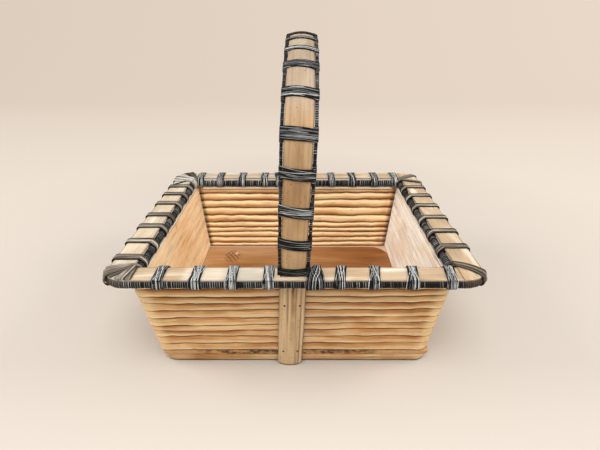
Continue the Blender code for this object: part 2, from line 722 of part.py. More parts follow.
def make_nail(name, place, inward, material):
    """A nail with a domed head, set a little into the strap."""
    levels = (
        (-NAIL_HEAD_HEIGHT, NAIL_HEAD_RADIUS / 2), (-NAIL_HEAD_HEIGHT / 2, NAIL_HEAD_RADIUS),
        (NAIL_HEAD_SINK - FIT_GAP, NAIL_HEAD_RADIUS), (NAIL_HEAD_SINK - FIT_GAP, NAIL_SHANK_RADIUS),
        (NAIL_SHANK_LENGTH, NAIL_SHANK_RADIUS),
    )
    return turned_solid(name, place, inward, levels, material)


def make_hole_cutter(name, place, inward, material):
    levels = (
        (-CUT_OVERRUN, NAIL_HEAD_RADIUS + FIT_GAP), (NAIL_HEAD_SINK, NAIL_HEAD_RADIUS + FIT_GAP),
        (NAIL_HEAD_SINK, NAIL_SHANK_RADIUS + FIT_GAP), (NAIL_SHANK_LENGTH + FIT_GAP, NAIL_SHANK_RADIUS + FIT_GAP),
    )
    cutter = turned_solid(name, place, inward, levels, material)
    cutter.hide_render = True
    cutter.display_type = "WIRE"
    return cutter


def lath_face_at(across, width):
    """How far the lath's rounded face stands out from the middle of its thickness."""
    half = [point for point in LATH_PROFILE_SHARES if point[0] >= 0 and point[1] > 0]
    half.sort()
    share = abs(across) / width
    for (x0, depth0), (x1, depth1) in zip(half, half[1:]):
        if share <= x1:
            return (depth0 + (depth1 - depth0) * (share - x0) / (x1 - x0) - 0.5) * LATH_THICKNESS
    return 0


def make_nails(lath, rods, material):
    for side, sign in (("front", 1), ("back", -1)):
        for level, height in (("upper", UPPER_NAIL_HEIGHT), ("lower", LOWER_NAIL_HEIGHT)):
            for hand, offset in (("left", -NAIL_SPREAD / 2), ("right", NAIL_SPREAD / 2)):
                inward = Vector((0, sign, 0))
                face = strap_reach(height) + lath_face_at(offset, STRAP_WIDTH)
                place = Vector((handle_shift(height) + offset, -sign * face, height))
                label = f"{side}_nail_{level}_{hand}"
                make_nail(label, place, inward, material)
                cutter = make_hole_cutter(f"{label}_hole", place, inward, material)
                holders = [lath]
                for rod, bottom, top in rods.values():
                    if rod.name.startswith(side) and bottom < height < top:
                        holders.append(rod)
                for holder in holders:
                    cut = holder.modifiers.new(cutter.name, "BOOLEAN")
                    cut.operation = "DIFFERENCE"
                    cut.object = cutter


def main():
    clear_scene()
    materials = make_materials()
    make_base(materials["cane"], materials["board"])
    rods = make_walls(materials["cane"])
    make_top_reed(materials["cane"])
    make_slats(materials["slat"])
    make_rim_lashing(materials["vine"])
    lath = make_lath(materials["lath"])
    make_handle_lashing(materials["vine"])
    make_nails(lath, rods, materials["nail"])


main()
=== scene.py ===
"""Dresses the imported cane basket: wavy rods, wound vine bindings, split bamboo and a stained board."""

import math
import random

import bpy
import numpy as np
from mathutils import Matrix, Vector


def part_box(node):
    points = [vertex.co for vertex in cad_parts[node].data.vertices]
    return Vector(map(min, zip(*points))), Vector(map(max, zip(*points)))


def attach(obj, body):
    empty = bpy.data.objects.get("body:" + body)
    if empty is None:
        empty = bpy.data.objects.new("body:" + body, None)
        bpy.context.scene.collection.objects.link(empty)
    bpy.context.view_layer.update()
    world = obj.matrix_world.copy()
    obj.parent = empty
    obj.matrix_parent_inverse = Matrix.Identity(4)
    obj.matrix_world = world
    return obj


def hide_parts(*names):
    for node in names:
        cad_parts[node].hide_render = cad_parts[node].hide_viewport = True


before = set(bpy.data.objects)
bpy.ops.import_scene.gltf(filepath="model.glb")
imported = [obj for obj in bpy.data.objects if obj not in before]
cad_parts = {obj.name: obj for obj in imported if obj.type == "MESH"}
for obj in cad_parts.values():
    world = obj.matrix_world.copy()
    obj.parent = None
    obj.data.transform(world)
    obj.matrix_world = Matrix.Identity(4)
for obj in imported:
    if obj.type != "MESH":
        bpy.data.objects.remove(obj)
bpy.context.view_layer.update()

# Main sizes, in metres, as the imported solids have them
RIM_LENGTH = 0.400
RIM_DEPTH = 0.349
RIM_TOP = 0.136
SLAT_WIDTH = 0.0270
SLAT_THICKNESS = 0.0026
RIM_CORNER = 0.024
LONG_WALL_INSETS = (0.0150, 0.0350)
SHORT_WALL_INSETS = (0.0215, 0.0420)
LONG_WALL_SLOPE = (LONG_WALL_INSETS[1] - LONG_WALL_INSETS[0]) / RIM_TOP
SHORT_WALL_SLOPE = (SHORT_WALL_INSETS[1] - SHORT_WALL_INSETS[0]) / RIM_TOP
WALL_THICKNESS = 0.0095
WALL_CORNER = 0.0125
WALL_TOP = 0.1188
HOOP_TOP = 0.0117
OUTER_CORD_RADIUS = 0.0037
OUTER_CORD_INSET = 0.0012
OUTER_CORD_HEIGHT = RIM_TOP - 0.0066
INNER_CORD_INSET = 0.0290
INNER_CORD_HEIGHT = 0.1278
INNER_CORD_HALF_WIDTH = 0.0046
INNER_CORD_HALF_HEIGHT = 0.0056
INNER_CORD_CORNER = 0.0060
LATH_THICKNESS = 0.0070
STRAP_WIDTH = 0.0290
LATH_WIDTH = 0.0256
LATH_TOP_WIDTH = 0.0270
LATH_TAPER = 0.0180
HANDLE_TOP = 0.3632
FLARE_HEIGHT = 0.1300
FOOT_SHIFT = -0.0068
TOP_SHIFT = 0.0075
LEFT_CORD_RADIUS = 0.0017
RIGHT_CORD_RADIUS = 0.0018
KNOT_PLACES = {"front": 0.0212, "back": 0.0284}
KNOT_SPREAD = 0.0066
FIT_GAP = 0.0003
RODS = 10
SIDES = ("front", "back", "left", "right")
LONG_SIDES = ("front", "back")

# Sizes of the finer forms, which only the scene has
OUTER_CORD_PITCH = 0.0023
INNER_CORD_PITCH = 0.0032
EDGE_CORD_PITCH = 0.0022
BAND_WIDTHS = {"front": 0.0112, "back": 0.0110, "left": 0.0118, "right": 0.0113}
BAND_STRANDS = 8
STRAND_THICKNESS = 0.0011
FINE_WIDTH = 0.0008
FINE_THICKNESS = 0.0007
SLAT_BEVEL = 0.0006
HOOP_SAG = 0.0004

# Powers that make a rod's section squarer outside, and flatter inside, the lower they are
OUT_SHARE = 0.66
IN_SHARE = {"front": 0.70, "back": 0.84, "left": 0.04, "right": 0.12}

# Lengths of the tables of random numbers
WAVE_KNOTS = 4096
TURN_TONES = 8192

# Marks: the left wall's rod with a dark knot, and the floor's scratches and worn corner
KNOT_ROD = 4
SCRATCH_PHASE = 850.0
WORN_CORNER = (0.128, 0.085)

# Places of the bands as shares of a rim rail's length, with brightness and skew in front, and as
# shares of half the handle with brightness
FRONT_BANDS = (
    (-0.352, 0.30, 0.0), (-0.255, 0.60, 0.0), (-0.162, 0.80, 0.0), (-0.068, 1.00, -0.0005),
    (0.116, 0.10, -0.0030), (0.205, 0.40, -0.0034), (0.303, 0.45, -0.0040), (0.402, 0.50, -0.0034),
)
BACK_BANDS = (-0.402, -0.319, -0.227, -0.135, 0.144, 0.232, 0.324, 0.408)
LEFT_BANDS = (-0.362, -0.246, -0.124, -0.020, 0.100, 0.206, 0.306)
RIGHT_BANDS = (-0.286, -0.167, -0.043, 0.075, 0.189, 0.295)
HANDLE_BANDS = (
    (0.112, 0.12), (0.217, 0.60), (0.328, 0.50), (0.433, 0.90), (0.547, 0.52),
    (0.658, 0.55), (0.756, 0.32), (0.860, 0.20), (0.950, 0.0),
)

# Leaves of each corner wrap, as corner_wrap describes them, and how brown they are
CORNER_LEAVES = {
    (-1, -1): ((
        (-0.0190, -0.0045, 0.0072, 0.72), (-0.0115, -0.0030, 0.0075, 0.62),
        (-0.0045, -0.0010, 0.0072, 0.52), (0.0015, 0.0002, 0.0060, 0.40),
        (0.0125, -0.0010, 0.0062, 0.66), (0.0180, 0.0005, 0.0068, 0.74), (0.0245, 0.0022, 0.0066, 0.62),
    ), 0.28),
    (1, -1): ((
        (-0.0145, -0.0102, 0.0036, 0.40), (-0.0112, -0.0082, 0.0036, 0.10),
        (-0.0080, -0.0060, 0.0036, 0.58), (-0.0048, -0.0038, 0.0036, 0.16), (-0.0016, -0.0018, 0.0038, 0.38),
    ), 0.38),
    (-1, 1): ((
        (-0.0330, -0.0150, 0.0100, 0.92), (-0.0230, -0.0090, 0.0095, 1.0),
        (-0.0130, -0.0040, 0.0090, 0.97), (-0.0030, 0.0, 0.0080, 0.80),
        (0.0060, 0.0015, 0.0080, 0.16), (0.0140, 0.0040, 0.0070, 0.40), (-0.0600, -0.0080, 0.0030, 0.05),
    ), 0.10),
    (1, 1): ((
        (-0.0035, -0.0010, 0.0075, 0.70), (-0.0100, -0.0030, 0.0070, 0.62), (-0.0440, -0.0115, 0.0085, 0.58),
    ), 0.30),
}

# Places along each rim slat, and how pale and how dull it is there
SLAT_TONES = {
    "front": (
        (-0.20, -0.118, -0.112, -0.080, -0.068, -0.040, -0.030, 0.020, 0.080, 0.090, 0.115, 0.125, 0.20),
        (0.26, 0.26, 0.55, 0.55, 0.42, 0.42, 0.30, 0.15, 0.13, 0.26, 0.26, 0.13, 0.13),
        (0.0, 0.0, 0.25, 0.28, 0.60, 0.55, 0.30, 0.10, 0.0, 0.20, 0.20, 0.0, 0.0),
    ),
    "back": ((-0.20, -0.03, 0.03, 0.20), (0.08, 0.08, 0.20, 0.22), (0.0, 0.0, 0.20, 0.35)),
    "left": (
        (-0.18, -0.13, -0.10, 0.13, 0.152, 0.18), (0.35, 0.35, 0.40, 0.38, 0.15, 0.15),
        (0.6, 0.6, 0.2, 0.2, 0.9, 0.9),
    ),
    "right": ((-0.18, 0.0, 0.18), (0.10, 0.16, 0.14), (0.0, 0.0, 0.15)),
}

# Heights of the nine seams between the rods at the two ends of a wall, top to bottom
SEAMS = {
    "front": (
        (0.1108, 0.0994, 0.0902, 0.0787, 0.0680, 0.0571, 0.0491, 0.0410, 0.0294),
        (0.1122, 0.1030, 0.0943, 0.0848, 0.0734, 0.0634, 0.0531, 0.0410, 0.0294),
    ),
    "back": (
        (0.1104, 0.0977, 0.0839, 0.0703, 0.0590, 0.0500, 0.0415, 0.0330, 0.0250),
        (0.1065, 0.0962, 0.0841, 0.0719, 0.0595, 0.0506, 0.0417, 0.0327, 0.0227),
    ),
}


# ---------------------------------------------------------------- meshes


def linked(name, data):
    """A new object with this data, in the scene."""
    item = bpy.data.objects.new(name, data)
    bpy.context.scene.collection.objects.link(item)
    return item


class Shape:
    """Collects the points, faces and point attributes of one piece."""

    def __init__(self):
        self.points, self.flow, self.shade, self.faces = [], [], [], []
        self.count = 0

    def grid(self, points, flow, shade, wrap=True, close=False):
        """Adds a tube or sheet from arrays of rings by places round each ring."""
        rings, places = points.shape[:2]
        index = np.arange(rings * places).reshape(rings, places) + self.count
        if close:
            index = np.vstack([index, index[:1]])
        if wrap:
            index = np.hstack([index, index[:, :1]])
        quads = np.stack([index[:-1, :-1], index[:-1, 1:], index[1:, 1:], index[1:, :-1]], axis=-1)
        self.faces += quads.reshape(-1, 4).tolist()
        if wrap and not close:
            self.faces += [index[0, places - 1::-1].tolist(), index[-1, :places].tolist()]
        self.points.append(points.reshape(-1, 3))
        self.flow.append(np.broadcast_to(flow, points.shape).reshape(-1, 3))
        self.shade.append(np.broadcast_to(shade, points.shape).reshape(-1, 3))
        self.count += rings * places

    def item(self, name, material):
        """The collected mesh as an object of the scene."""
        mesh = bpy.data.meshes.new(name)
        mesh.from_pydata(np.concatenate(self.points).tolist(), [], self.faces)
        for label, values in (("flow", self.flow), ("shade", self.shade)):
            attribute = mesh.attributes.new(label, "FLOAT_VECTOR", "POINT")
            attribute.data.foreach_set("vector", np.concatenate(values).astype(np.float32).ravel())
        mesh.materials.append(material)
        mesh.shade_smooth()
        return linked(name, mesh)

    def build(self, name, material, slot_name, *nodes):
        """The same as a piece of the basket, which stands for these nodes."""
        item = self.item(name, material)
        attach(item, "root")
        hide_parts(*nodes)


def clip(value):
    return np.clip(value, 0, 1)


def smooth(value, low, high):
    """Zero below low, one above high and an even curve between them."""
    share = clip((value - low) / (high - low))
    return share * share * (3 - 2 * share)


def hump(value, middle, width):
    """One at the middle, and close to nothing two widths away from it."""
    return np.exp(-((value - middle) / width) ** 2)


def waves(places, seed, length, octaves=3):
    """Smooth one-dimensional noise between about -1 and 1, the same for the same seed."""
    chance = np.random.default_rng(seed)
    total = np.zeros(len(places))
    size = 1.0
    for _ in range(octaves):
        knots = chance.uniform(-1, 1, WAVE_KNOTS)
        spot = places / length + 1000
        low = np.floor(spot).astype(int)
        share = smooth(spot - low, 0, 1)
        total += size * (knots[low % WAVE_KNOTS] * (1 - share) + knots[(low + 1) % WAVE_KNOTS] * share)
        length /= 2
        size /= 2
    return total / 1.6


def stacked(*values):
    """Arrays and numbers, spread to one shape and set side by side along a new last axis."""
    return np.stack(np.broadcast_arrays(*values), -1)


def ring_angles(count, start=0.0):
    return math.tau * (np.arange(count) + start) / count


def squarish(value, power):
    """A cosine or sine that gives a squarer section the lower its power is."""
    return np.sign(value) * np.abs(value) ** power


def unit(vectors):
    return vectors / np.maximum(np.linalg.norm(vectors, axis=-1, keepdims=True), 1e-9)


def side_sizes(side):
    """Half the rim's size across this side, and half its length along it."""
    half_x, half_y = RIM_LENGTH / 2, RIM_DEPTH / 2
    return (half_y, half_x) if side in LONG_SIDES else (half_x, half_y)


def side_points(side, along, inward, height):
    """Points by their distance along a side, in from the rim's edge, and height."""
    reach = side_sizes(side)[0] - inward
    sign = 1 if side in ("front", "right") else -1
    if side in LONG_SIDES:
        return stacked(sign * along, -sign * reach, height)
    return stacked(sign * reach, sign * along, height)


def wall_insets(side, height):
    """How far the wall of this side, and the wall it meets, lie in from the rim's edge at a height."""
    long_inset = LONG_WALL_INSETS[1] - LONG_WALL_SLOPE * height
    short_inset = SHORT_WALL_INSETS[1] - SHORT_WALL_SLOPE * height
    return (long_inset, short_inset) if side in LONG_SIDES else (short_inset, long_inset)


def travelled(path):
    """Distances from the start of a path to its points."""
    return np.concatenate([[0], np.cumsum(np.linalg.norm(np.diff(path, axis=0), axis=1))])


def sampled(wanted, places, path):
    return np.stack([np.interp(wanted, places, column) for column in path.T], -1)


def resample(path, count, closed=False):
    """The same path with evenly spaced points."""
    if closed:
        path = np.vstack([path, path[:1]])
    places = travelled(path)
    return sampled(np.linspace(0, places[-1], count + closed)[:count], places, path)


# ---------------------------------------------------------------- materials


def put(value, socket):
    """Links a value to an input, or sets the input to a number, vector or colour."""
    if isinstance(value, Value):
        value.tree.links.new(value.socket, socket)
    elif socket.type == "RGBA":
        socket.default_value = (*value, 1)
    else:
        socket.default_value = value


def add_node(tree, kind, inputs, **settings):
    node = tree.nodes.new(kind)
    for name, value in settings.items():
        setattr(node, name, value)
    for key, value in inputs.items():
        put(value, node.inputs[key])
    return node


class Value:
    """An output of a node in a material; sums, products and blends of values are nodes too."""

    def __init__(self, node, output=0):
        self.node, self.socket, self.tree = node, node.outputs[output], node.id_data

    def maths(self, operation, other=0.0):
        return Value(add_node(self.tree, "ShaderNodeMath", {0: self, 1: other}, operation=operation))

    def __add__(self, other):
        return self.maths("ADD", other)

    def __sub__(self, other):
        return self.maths("SUBTRACT", other)

    def __mul__(self, other):
        return self.maths("MULTIPLY", other)

    def above(self):
        """The value, or zero where it is negative."""
        return self.maths("MAXIMUM")

    def split(self):
        node = add_node(self.tree, "ShaderNodeSeparateXYZ", {0: self})
        return [Value(node, part) for part in range(3)]

    def grain(self, scale, detail=3.0, roughness=0.55):
        """Noise stretched along the flow of a piece; scale is given along, across and by seed."""
        vector = Value(add_node(self.tree, "ShaderNodeVectorMath", {0: self, 1: scale}, operation="MULTIPLY"))
        inputs = {"Vector": vector, "Scale": 1.0, "Detail": detail, "Roughness": roughness}
        return Value(add_node(self.tree, "ShaderNodeTexNoise", inputs), "Fac")

    def ramp(self, *stops):
        """A colour or grey ramp from (place, colour) stops."""
        result = Value(add_node(self.tree, "ShaderNodeValToRGB", {0: self}))
        elements = result.node.color_ramp.elements
        while len(elements) < len(stops):
            elements.new(0.5)
        for element, (place, colour) in zip(elements, stops):
            element.position = place
            element.color = (*colour, 1) if isinstance(colour, tuple) else (colour, colour, colour, 1)
        return result

    def mix(self, amount, other, mode="MIX"):
        inputs = {0: amount, 6: self, 7: other}
        return Value(add_node(self.tree, "ShaderNodeMix", inputs, data_type="RGBA", blend_type=mode), 2)

    def times(self, amount, other):
        return self.mix(amount, other, "MULTIPLY")


class Material:
    """A material with a principled shader."""

    def __init__(self, name):
        self.data = bpy.data.materials.new(name)
        self.data.use_nodes = True
        self.tree = self.data.node_tree
        self.inputs = self.tree.nodes["Principled BSDF"].inputs

    def attribute(self, label):
        return Value(add_node(self.tree, "ShaderNodeAttribute", {}, attribute_name=label), "Vector")

    def place(self):
        return Value(add_node(self.tree, "ShaderNodeTexCoord", {}), "Object")

    def finished(self, colour, fine, low, high, depth, strength):
        """Sets the colour, the roughness at the low and high of the fine grain, and the relief from it."""
        relief = {"Strength": strength, "Distance": depth, "Height": fine}
        put(colour, self.inputs["Base Color"])
        put(fine.ramp((0.3, low), (0.7, high)), self.inputs["Roughness"])
        put(Value(add_node(self.tree, "ShaderNodeBump", relief)), self.inputs["Normal"])
        return self.data


def cane_material(name, base, pale, deep, streaks=(14, 900, 1)):
    """Peeled cane: soft streaks, pale edges, dark seams, brown and dull patches and a few knots.

    The pale edges are painted highlights, the dark seams are painted shade, and part of the brown is painted
    shade.

    A tone of two or more marks an outer face. These have the same colours on all four walls.
    """
    material = Material(name)
    flow = material.attribute("flow")
    crease, stain, tone = material.attribute("shade").split()
    broad = flow.grain((11, 140, 1), 2.5)
    fine = flow.grain(streaks, 4.0, 0.62)
    outside = tone.maths("GREATER_THAN", 1.5)
    outer = broad.ramp((0.33, CANE_DEEP), (0.50, CANE_BASE), (0.68, CANE_PALE))
    colour = broad.ramp((0.33, deep), (0.50, base), (0.68, pale)).mix(outside, outer)
    # tone mixes towards the pale colour: paler cane, and painted highlights along the rods' lower edges
    colour = colour.mix(tone - outside * 2.0, outside.ramp((0.0, pale), (1.0, CANE_PALE)))
    colour = colour.times(0.85, fine.ramp((0.30, 0.62), (0.50, 1.0), (0.74, 1.14)))
    knots = flow.grain((60, 190, 1), 2.0)
    colour = colour.times(knots.ramp((0.68, 0.0), (0.78, 0.7)), (0.46, 0.27, 0.13))
    colour = colour.mix((stain * -1.0).above(), (0.60, 0.42, 0.30))
    # brown stain, partly painted shade on the rods' upper parts
    colour = colour.times(stain.above(), (0.60, 0.36, 0.18))
    # painted shade: the crease darkens seams and hollows towards near-black
    colour = colour.mix(crease, (0.085, 0.032, 0.010))
    return material.finished(colour, fine, 0.60, 0.42, 0.00035, 0.6)


def slat_material(name, base, pale, deep, streaks, contrast, stained, specks):
    """Split bamboo: fine streaks, pale or dull parts, stains, dark edges and some dark specks.

    Above the rim, on the handle, the streaks are fainter.
    """
    material = Material(name)
    height = material.place().split()[2]
    contrast = height.ramp((RIM_TOP, contrast), (RIM_TOP + 0.006, contrast * 0.28))
    flow = material.attribute("flow")
    crease, stain, tone = material.attribute("shade").split()
    broad = flow.grain((14, 60, 1), 2.0)
    fine = flow.grain(streaks, 4.0, 0.6)
    colour = broad.ramp((0.30, deep), (0.52, base), (0.74, pale)).mix(tone, pale)
    colour = colour.mix((stain * -1.0).above(), (0.37, 0.38, 0.35))
    colour = colour.times(contrast, fine.ramp((0.36, 0.46), (0.50, 1.0), (0.66, 1.2)))
    colour = colour.times(stain.above(), stained)
    dots = flow.grain((260, 620, 1), 2.0)
    colour = colour.times(dots.ramp((0.66, 0.0), (0.74, specks)), (0.30, 0.20, 0.13))
    colour = colour.times(crease, (0.30, 0.21, 0.14))
    return material.finished(colour, fine, 0.66, 0.50, 0.00025, 0.5)


def vine_material(name, dark, grey, light, lines):
    """Dark split vine: near-black with worn silver strands; tone is each strand's own share of grey, and on
    wound cords also the painted highlight on each turn's crest. The crease is painted shade.
    """
    material = Material(name)
    flow = material.attribute("flow")
    crease, stain, tone = material.attribute("shade").split()
    fine = flow.grain((60, 2600, 1), 4.0, 0.65)
    broad = flow.grain((45, 300, 1), 2.0)
    dim = tuple(0.45 * channel for channel in grey)
    mixed = fine * 0.5 + broad * 0.5 - 0.5 + tone
    colour = mixed.ramp((0.16, dark), (0.42, dim), (0.66, grey), (0.95, light))
    line = flow.grain((16, 480, 1), 3.0, 0.6)
    colour = colour.times(lines, line.ramp((0.40, 0.10), (0.50, 1.0), (0.62, 1.55)))
    # painted shade: the crease darkens strand edges and the grooves between wound turns
    colour = colour.times(crease, (0.07, 0.06, 0.055)).mix(stain, (0.075, 0.045, 0.026))
    put(0.18, material.inputs["Specular IOR Level"])
    return material.finished(colour, fine, 0.62, 0.48, 0.00025, 0.6)


def oval(x, y, centre, reach):
    """Square of the distance from a centre, one at the edge of an oval of this reach."""
    parts = zip((x, y), centre, reach)
    first, second = (((value - middle) * (1 / size)).maths("POWER", 2.0) for value, middle, size in parts)
    return first + second


def scratch_mask(place, x, y):
    """Crossed scratches in one small window of the board."""
    uneven = place.grain((60, 60, 60), 2.0) * 0.004
    first, second = (((x + y * slope + uneven) * SCRATCH_PHASE).maths("SINE") for slope in (0.6, -0.6))
    window = oval(x, y, (-0.107, 0.094), (0.0145, 0.0240)).ramp((0.45, 1.0), (1.0, 0.0))
    return first.maths("MAXIMUM", second).ramp((0.50, 0.0), (0.92, 1.0)) * window


def board_material():
    """A stained board, darker at the right, faded at the back, with scratches, a chip and a worn corner.

    Its outer edge is mottled bark in the middle of the front and plain towards the ends.
    """
    material = Material("stained_board")
    place = material.place()
    x, y, _ = place.split()
    fine = place.grain((14, 460, 60), 5.0, 0.62)
    broad = place.grain((6, 34, 8), 3.0)
    stops = (0.32, (0.26, 0.105, 0.030)), (0.52, (0.40, 0.19, 0.066)), (0.72, (0.56, 0.34, 0.155))
    colour = broad.ramp(*stops)
    colour = colour.times(0.9, fine.ramp((0.30, 0.52), (0.52, 1.0), (0.76, 1.2)))
    colour = colour.times((x + broad * 0.08).ramp((0.03, 0.0), (0.14, 0.75)), (0.62, 0.41, 0.20))
    left = (x * -1.0).ramp((0.0, 0.0), (0.05, 1.0))
    colour = colour.mix(y.ramp((0.085, 0.0), (0.132, 0.45)) * left, (0.60, 0.39, 0.24))
    colour = colour.times(scratch_mask(place, x, y), (0.34, 0.22, 0.14))
    chip = oval(x, y, (-0.1012, 0.1045), (0.0034, 0.0056)).ramp((0.35, 0.8), (1.0, 0.0))
    colour = colour.mix(chip, (0.66, 0.50, 0.33))
    past_x, past_y = (value.maths("MAXIMUM", start) for value, start in zip((x, y), WORN_CORNER))
    worn = oval(past_x, past_y, WORN_CORNER, (0.037, 0.057)).ramp((0.52, 0.0), (0.60, 0.9))
    colour = colour.mix(worn, (0.66, 0.47, 0.33))
    sides, ends = (value.maths("ABSOLUTE") for value in (x, y))
    edge = sides.maths("GREATER_THAN", 0.1530).maths("MAXIMUM", ends.maths("GREATER_THAN", 0.1345))
    mottle = place.grain((130, 130, 300), 4.0, 0.7)
    stops = (0.41, (0.030, 0.011, 0.004)), (0.49, (0.27, 0.110, 0.024)), (0.62, (0.52, 0.27, 0.08))
    bark = mottle.ramp(*stops)
    leftward = x * -5.0
    plain = (leftward + 0.5).ramp((0.0, 0.7), (0.08, 0.0), (1.0, 0.0))
    plain = plain.mix(1.0, leftward.ramp((0.50, 0.0), (0.62, 0.85)), "ADD")
    colour = colour.mix(edge, bark.mix(plain, (0.52, 0.30, 0.12)))
    return material.finished(colour, fine, 0.58, 0.42, 0.0003, 0.5)


def nail_material():
    material = Material("dark_nail")
    rust = material.place().grain((900, 900, 900), 3.0)
    put(rust.ramp((0.35, (0.020, 0.014, 0.012)), (0.7, (0.085, 0.045, 0.028))), material.inputs["Base Color"])
    put(0.5, material.inputs["Roughness"])
    return material.data


CANE_BASE, CANE_PALE, CANE_DEEP = (0.610, 0.320, 0.098), (0.910, 0.665, 0.365), (0.440, 0.190, 0.045)
CANE = cane_material("peeled_cane", CANE_BASE, CANE_PALE, CANE_DEEP)
# The inner left and right walls, copies of the peeled cane: partly their own colour, partly painted light,
# the right wall paler where it faces the light.
HONEY = cane_material(
    "honey_cane", (0.830, 0.540, 0.275), (0.900, 0.690, 0.440), (0.700, 0.390, 0.155), (10, 700, 1)
)
CREAM = cane_material(
    "cream_cane", (0.930, 0.810, 0.650), (0.950, 0.900, 0.820), (0.830, 0.630, 0.450), (12, 800, 1)
)
SLAT = slat_material(
    "pale_slat", (0.460, 0.315, 0.180), (0.760, 0.690, 0.560), (0.360, 0.235, 0.125),
    (22, 1400, 1), 0.6, (0.62, 0.52, 0.40), 0.0,
)
LATH = slat_material(
    "bamboo_lath", (0.450, 0.260, 0.110), (0.600, 0.440, 0.255), (0.300, 0.165, 0.070),
    (7, 400, 1), 1.0, (0.50, 0.37, 0.25), 0.95,
)
VINE = vine_material("dark_vine", (0.003, 0.003, 0.003), (0.165, 0.172, 0.176), (0.68, 0.69, 0.67), 0.1)
BROWN_VINE = vine_material(
    "brown_vine", (0.014, 0.010, 0.007), (0.250, 0.215, 0.170), (0.62, 0.58, 0.51), 0.9
)
BOARD = board_material()
NAIL = nail_material()


def dress(node, material):
    """Gives a node that is carried over a material of its own."""
    node.data.materials.clear()
    node.data.materials.append(material)


# ---------------------------------------------------------------- walls


def cad_seams(side):
    """Heights of the top and bottom of each rod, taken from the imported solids."""
    boxes = [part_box(f"{side}_rod_{number:02d}") for number in range(1, RODS + 1)]
    inner = [(upper[0].z + lower[1].z) / 2 for upper, lower in zip(boxes, boxes[1:])]
    return [boxes[0][1].z, *inner, boxes[-1][0].z]


def seam_lines(side, travel, half):
    """Heights of the eleven seam lines of a wall along its travel, wavy as bent cane is."""
    share = np.clip(travel / half, -1, 1) / 2 + 0.5
    sway = 0.0016 if side in LONG_SIDES else 0.0006
    lines = []
    for number, level in enumerate(cad_seams(side)):
        line = level + 0 * share
        if 0 < number < RODS:
            if side in SEAMS:
                left, right = (level + 0.8 * (seams[number - 1] - level) for seams in SEAMS[side])
                line = left + (right - left) * share
            seed = 100 * (SIDES.index(side) + 1) + number
            line = line + sway * (waves(travel, seed, 0.08, 2) + 0.6 * waves(travel, seed + 50, 0.016, 2))
        lines.append(line)
    return lines


def build_walls():
    for side in SIDES:
        straight = side_sizes(side)[1] - wall_insets(side, 0.07)[1] - WALL_CORNER
        turns = np.radians(np.linspace(2, 45, 8))
        travel = np.linspace(-straight, straight, 190)
        arc = straight + WALL_CORNER * turns
        stations = np.concatenate([-arc[::-1], travel, arc])
        angle = np.concatenate([turns[::-1], 0 * travel, turns])[:, None]
        lines = seam_lines(side, stations, straight)
        for number in range(RODS):
            build_rod(side, number, stations, angle, lines[number], lines[number + 1], straight)


def skewed(points):
    """The side walls lean a little to the left at the front, and the back wall stands in at its foot."""
    x, y, z = points[..., 0].copy(), points[..., 1].copy(), points[..., 2]
    lean = np.clip(y / 0.14, -1, 1)
    right = np.where(lean < 0, 0.0025, 0.0022) * lean * clip(x / 0.17)
    left = np.where(lean < 0, 0.0034, 0.0) * lean * clip(-x / 0.17)
    points[..., 0] += right + left
    points[..., 1] -= 0.0035 * (1 - clip(z / WALL_TOP)) * clip(y / 0.14)
    return points


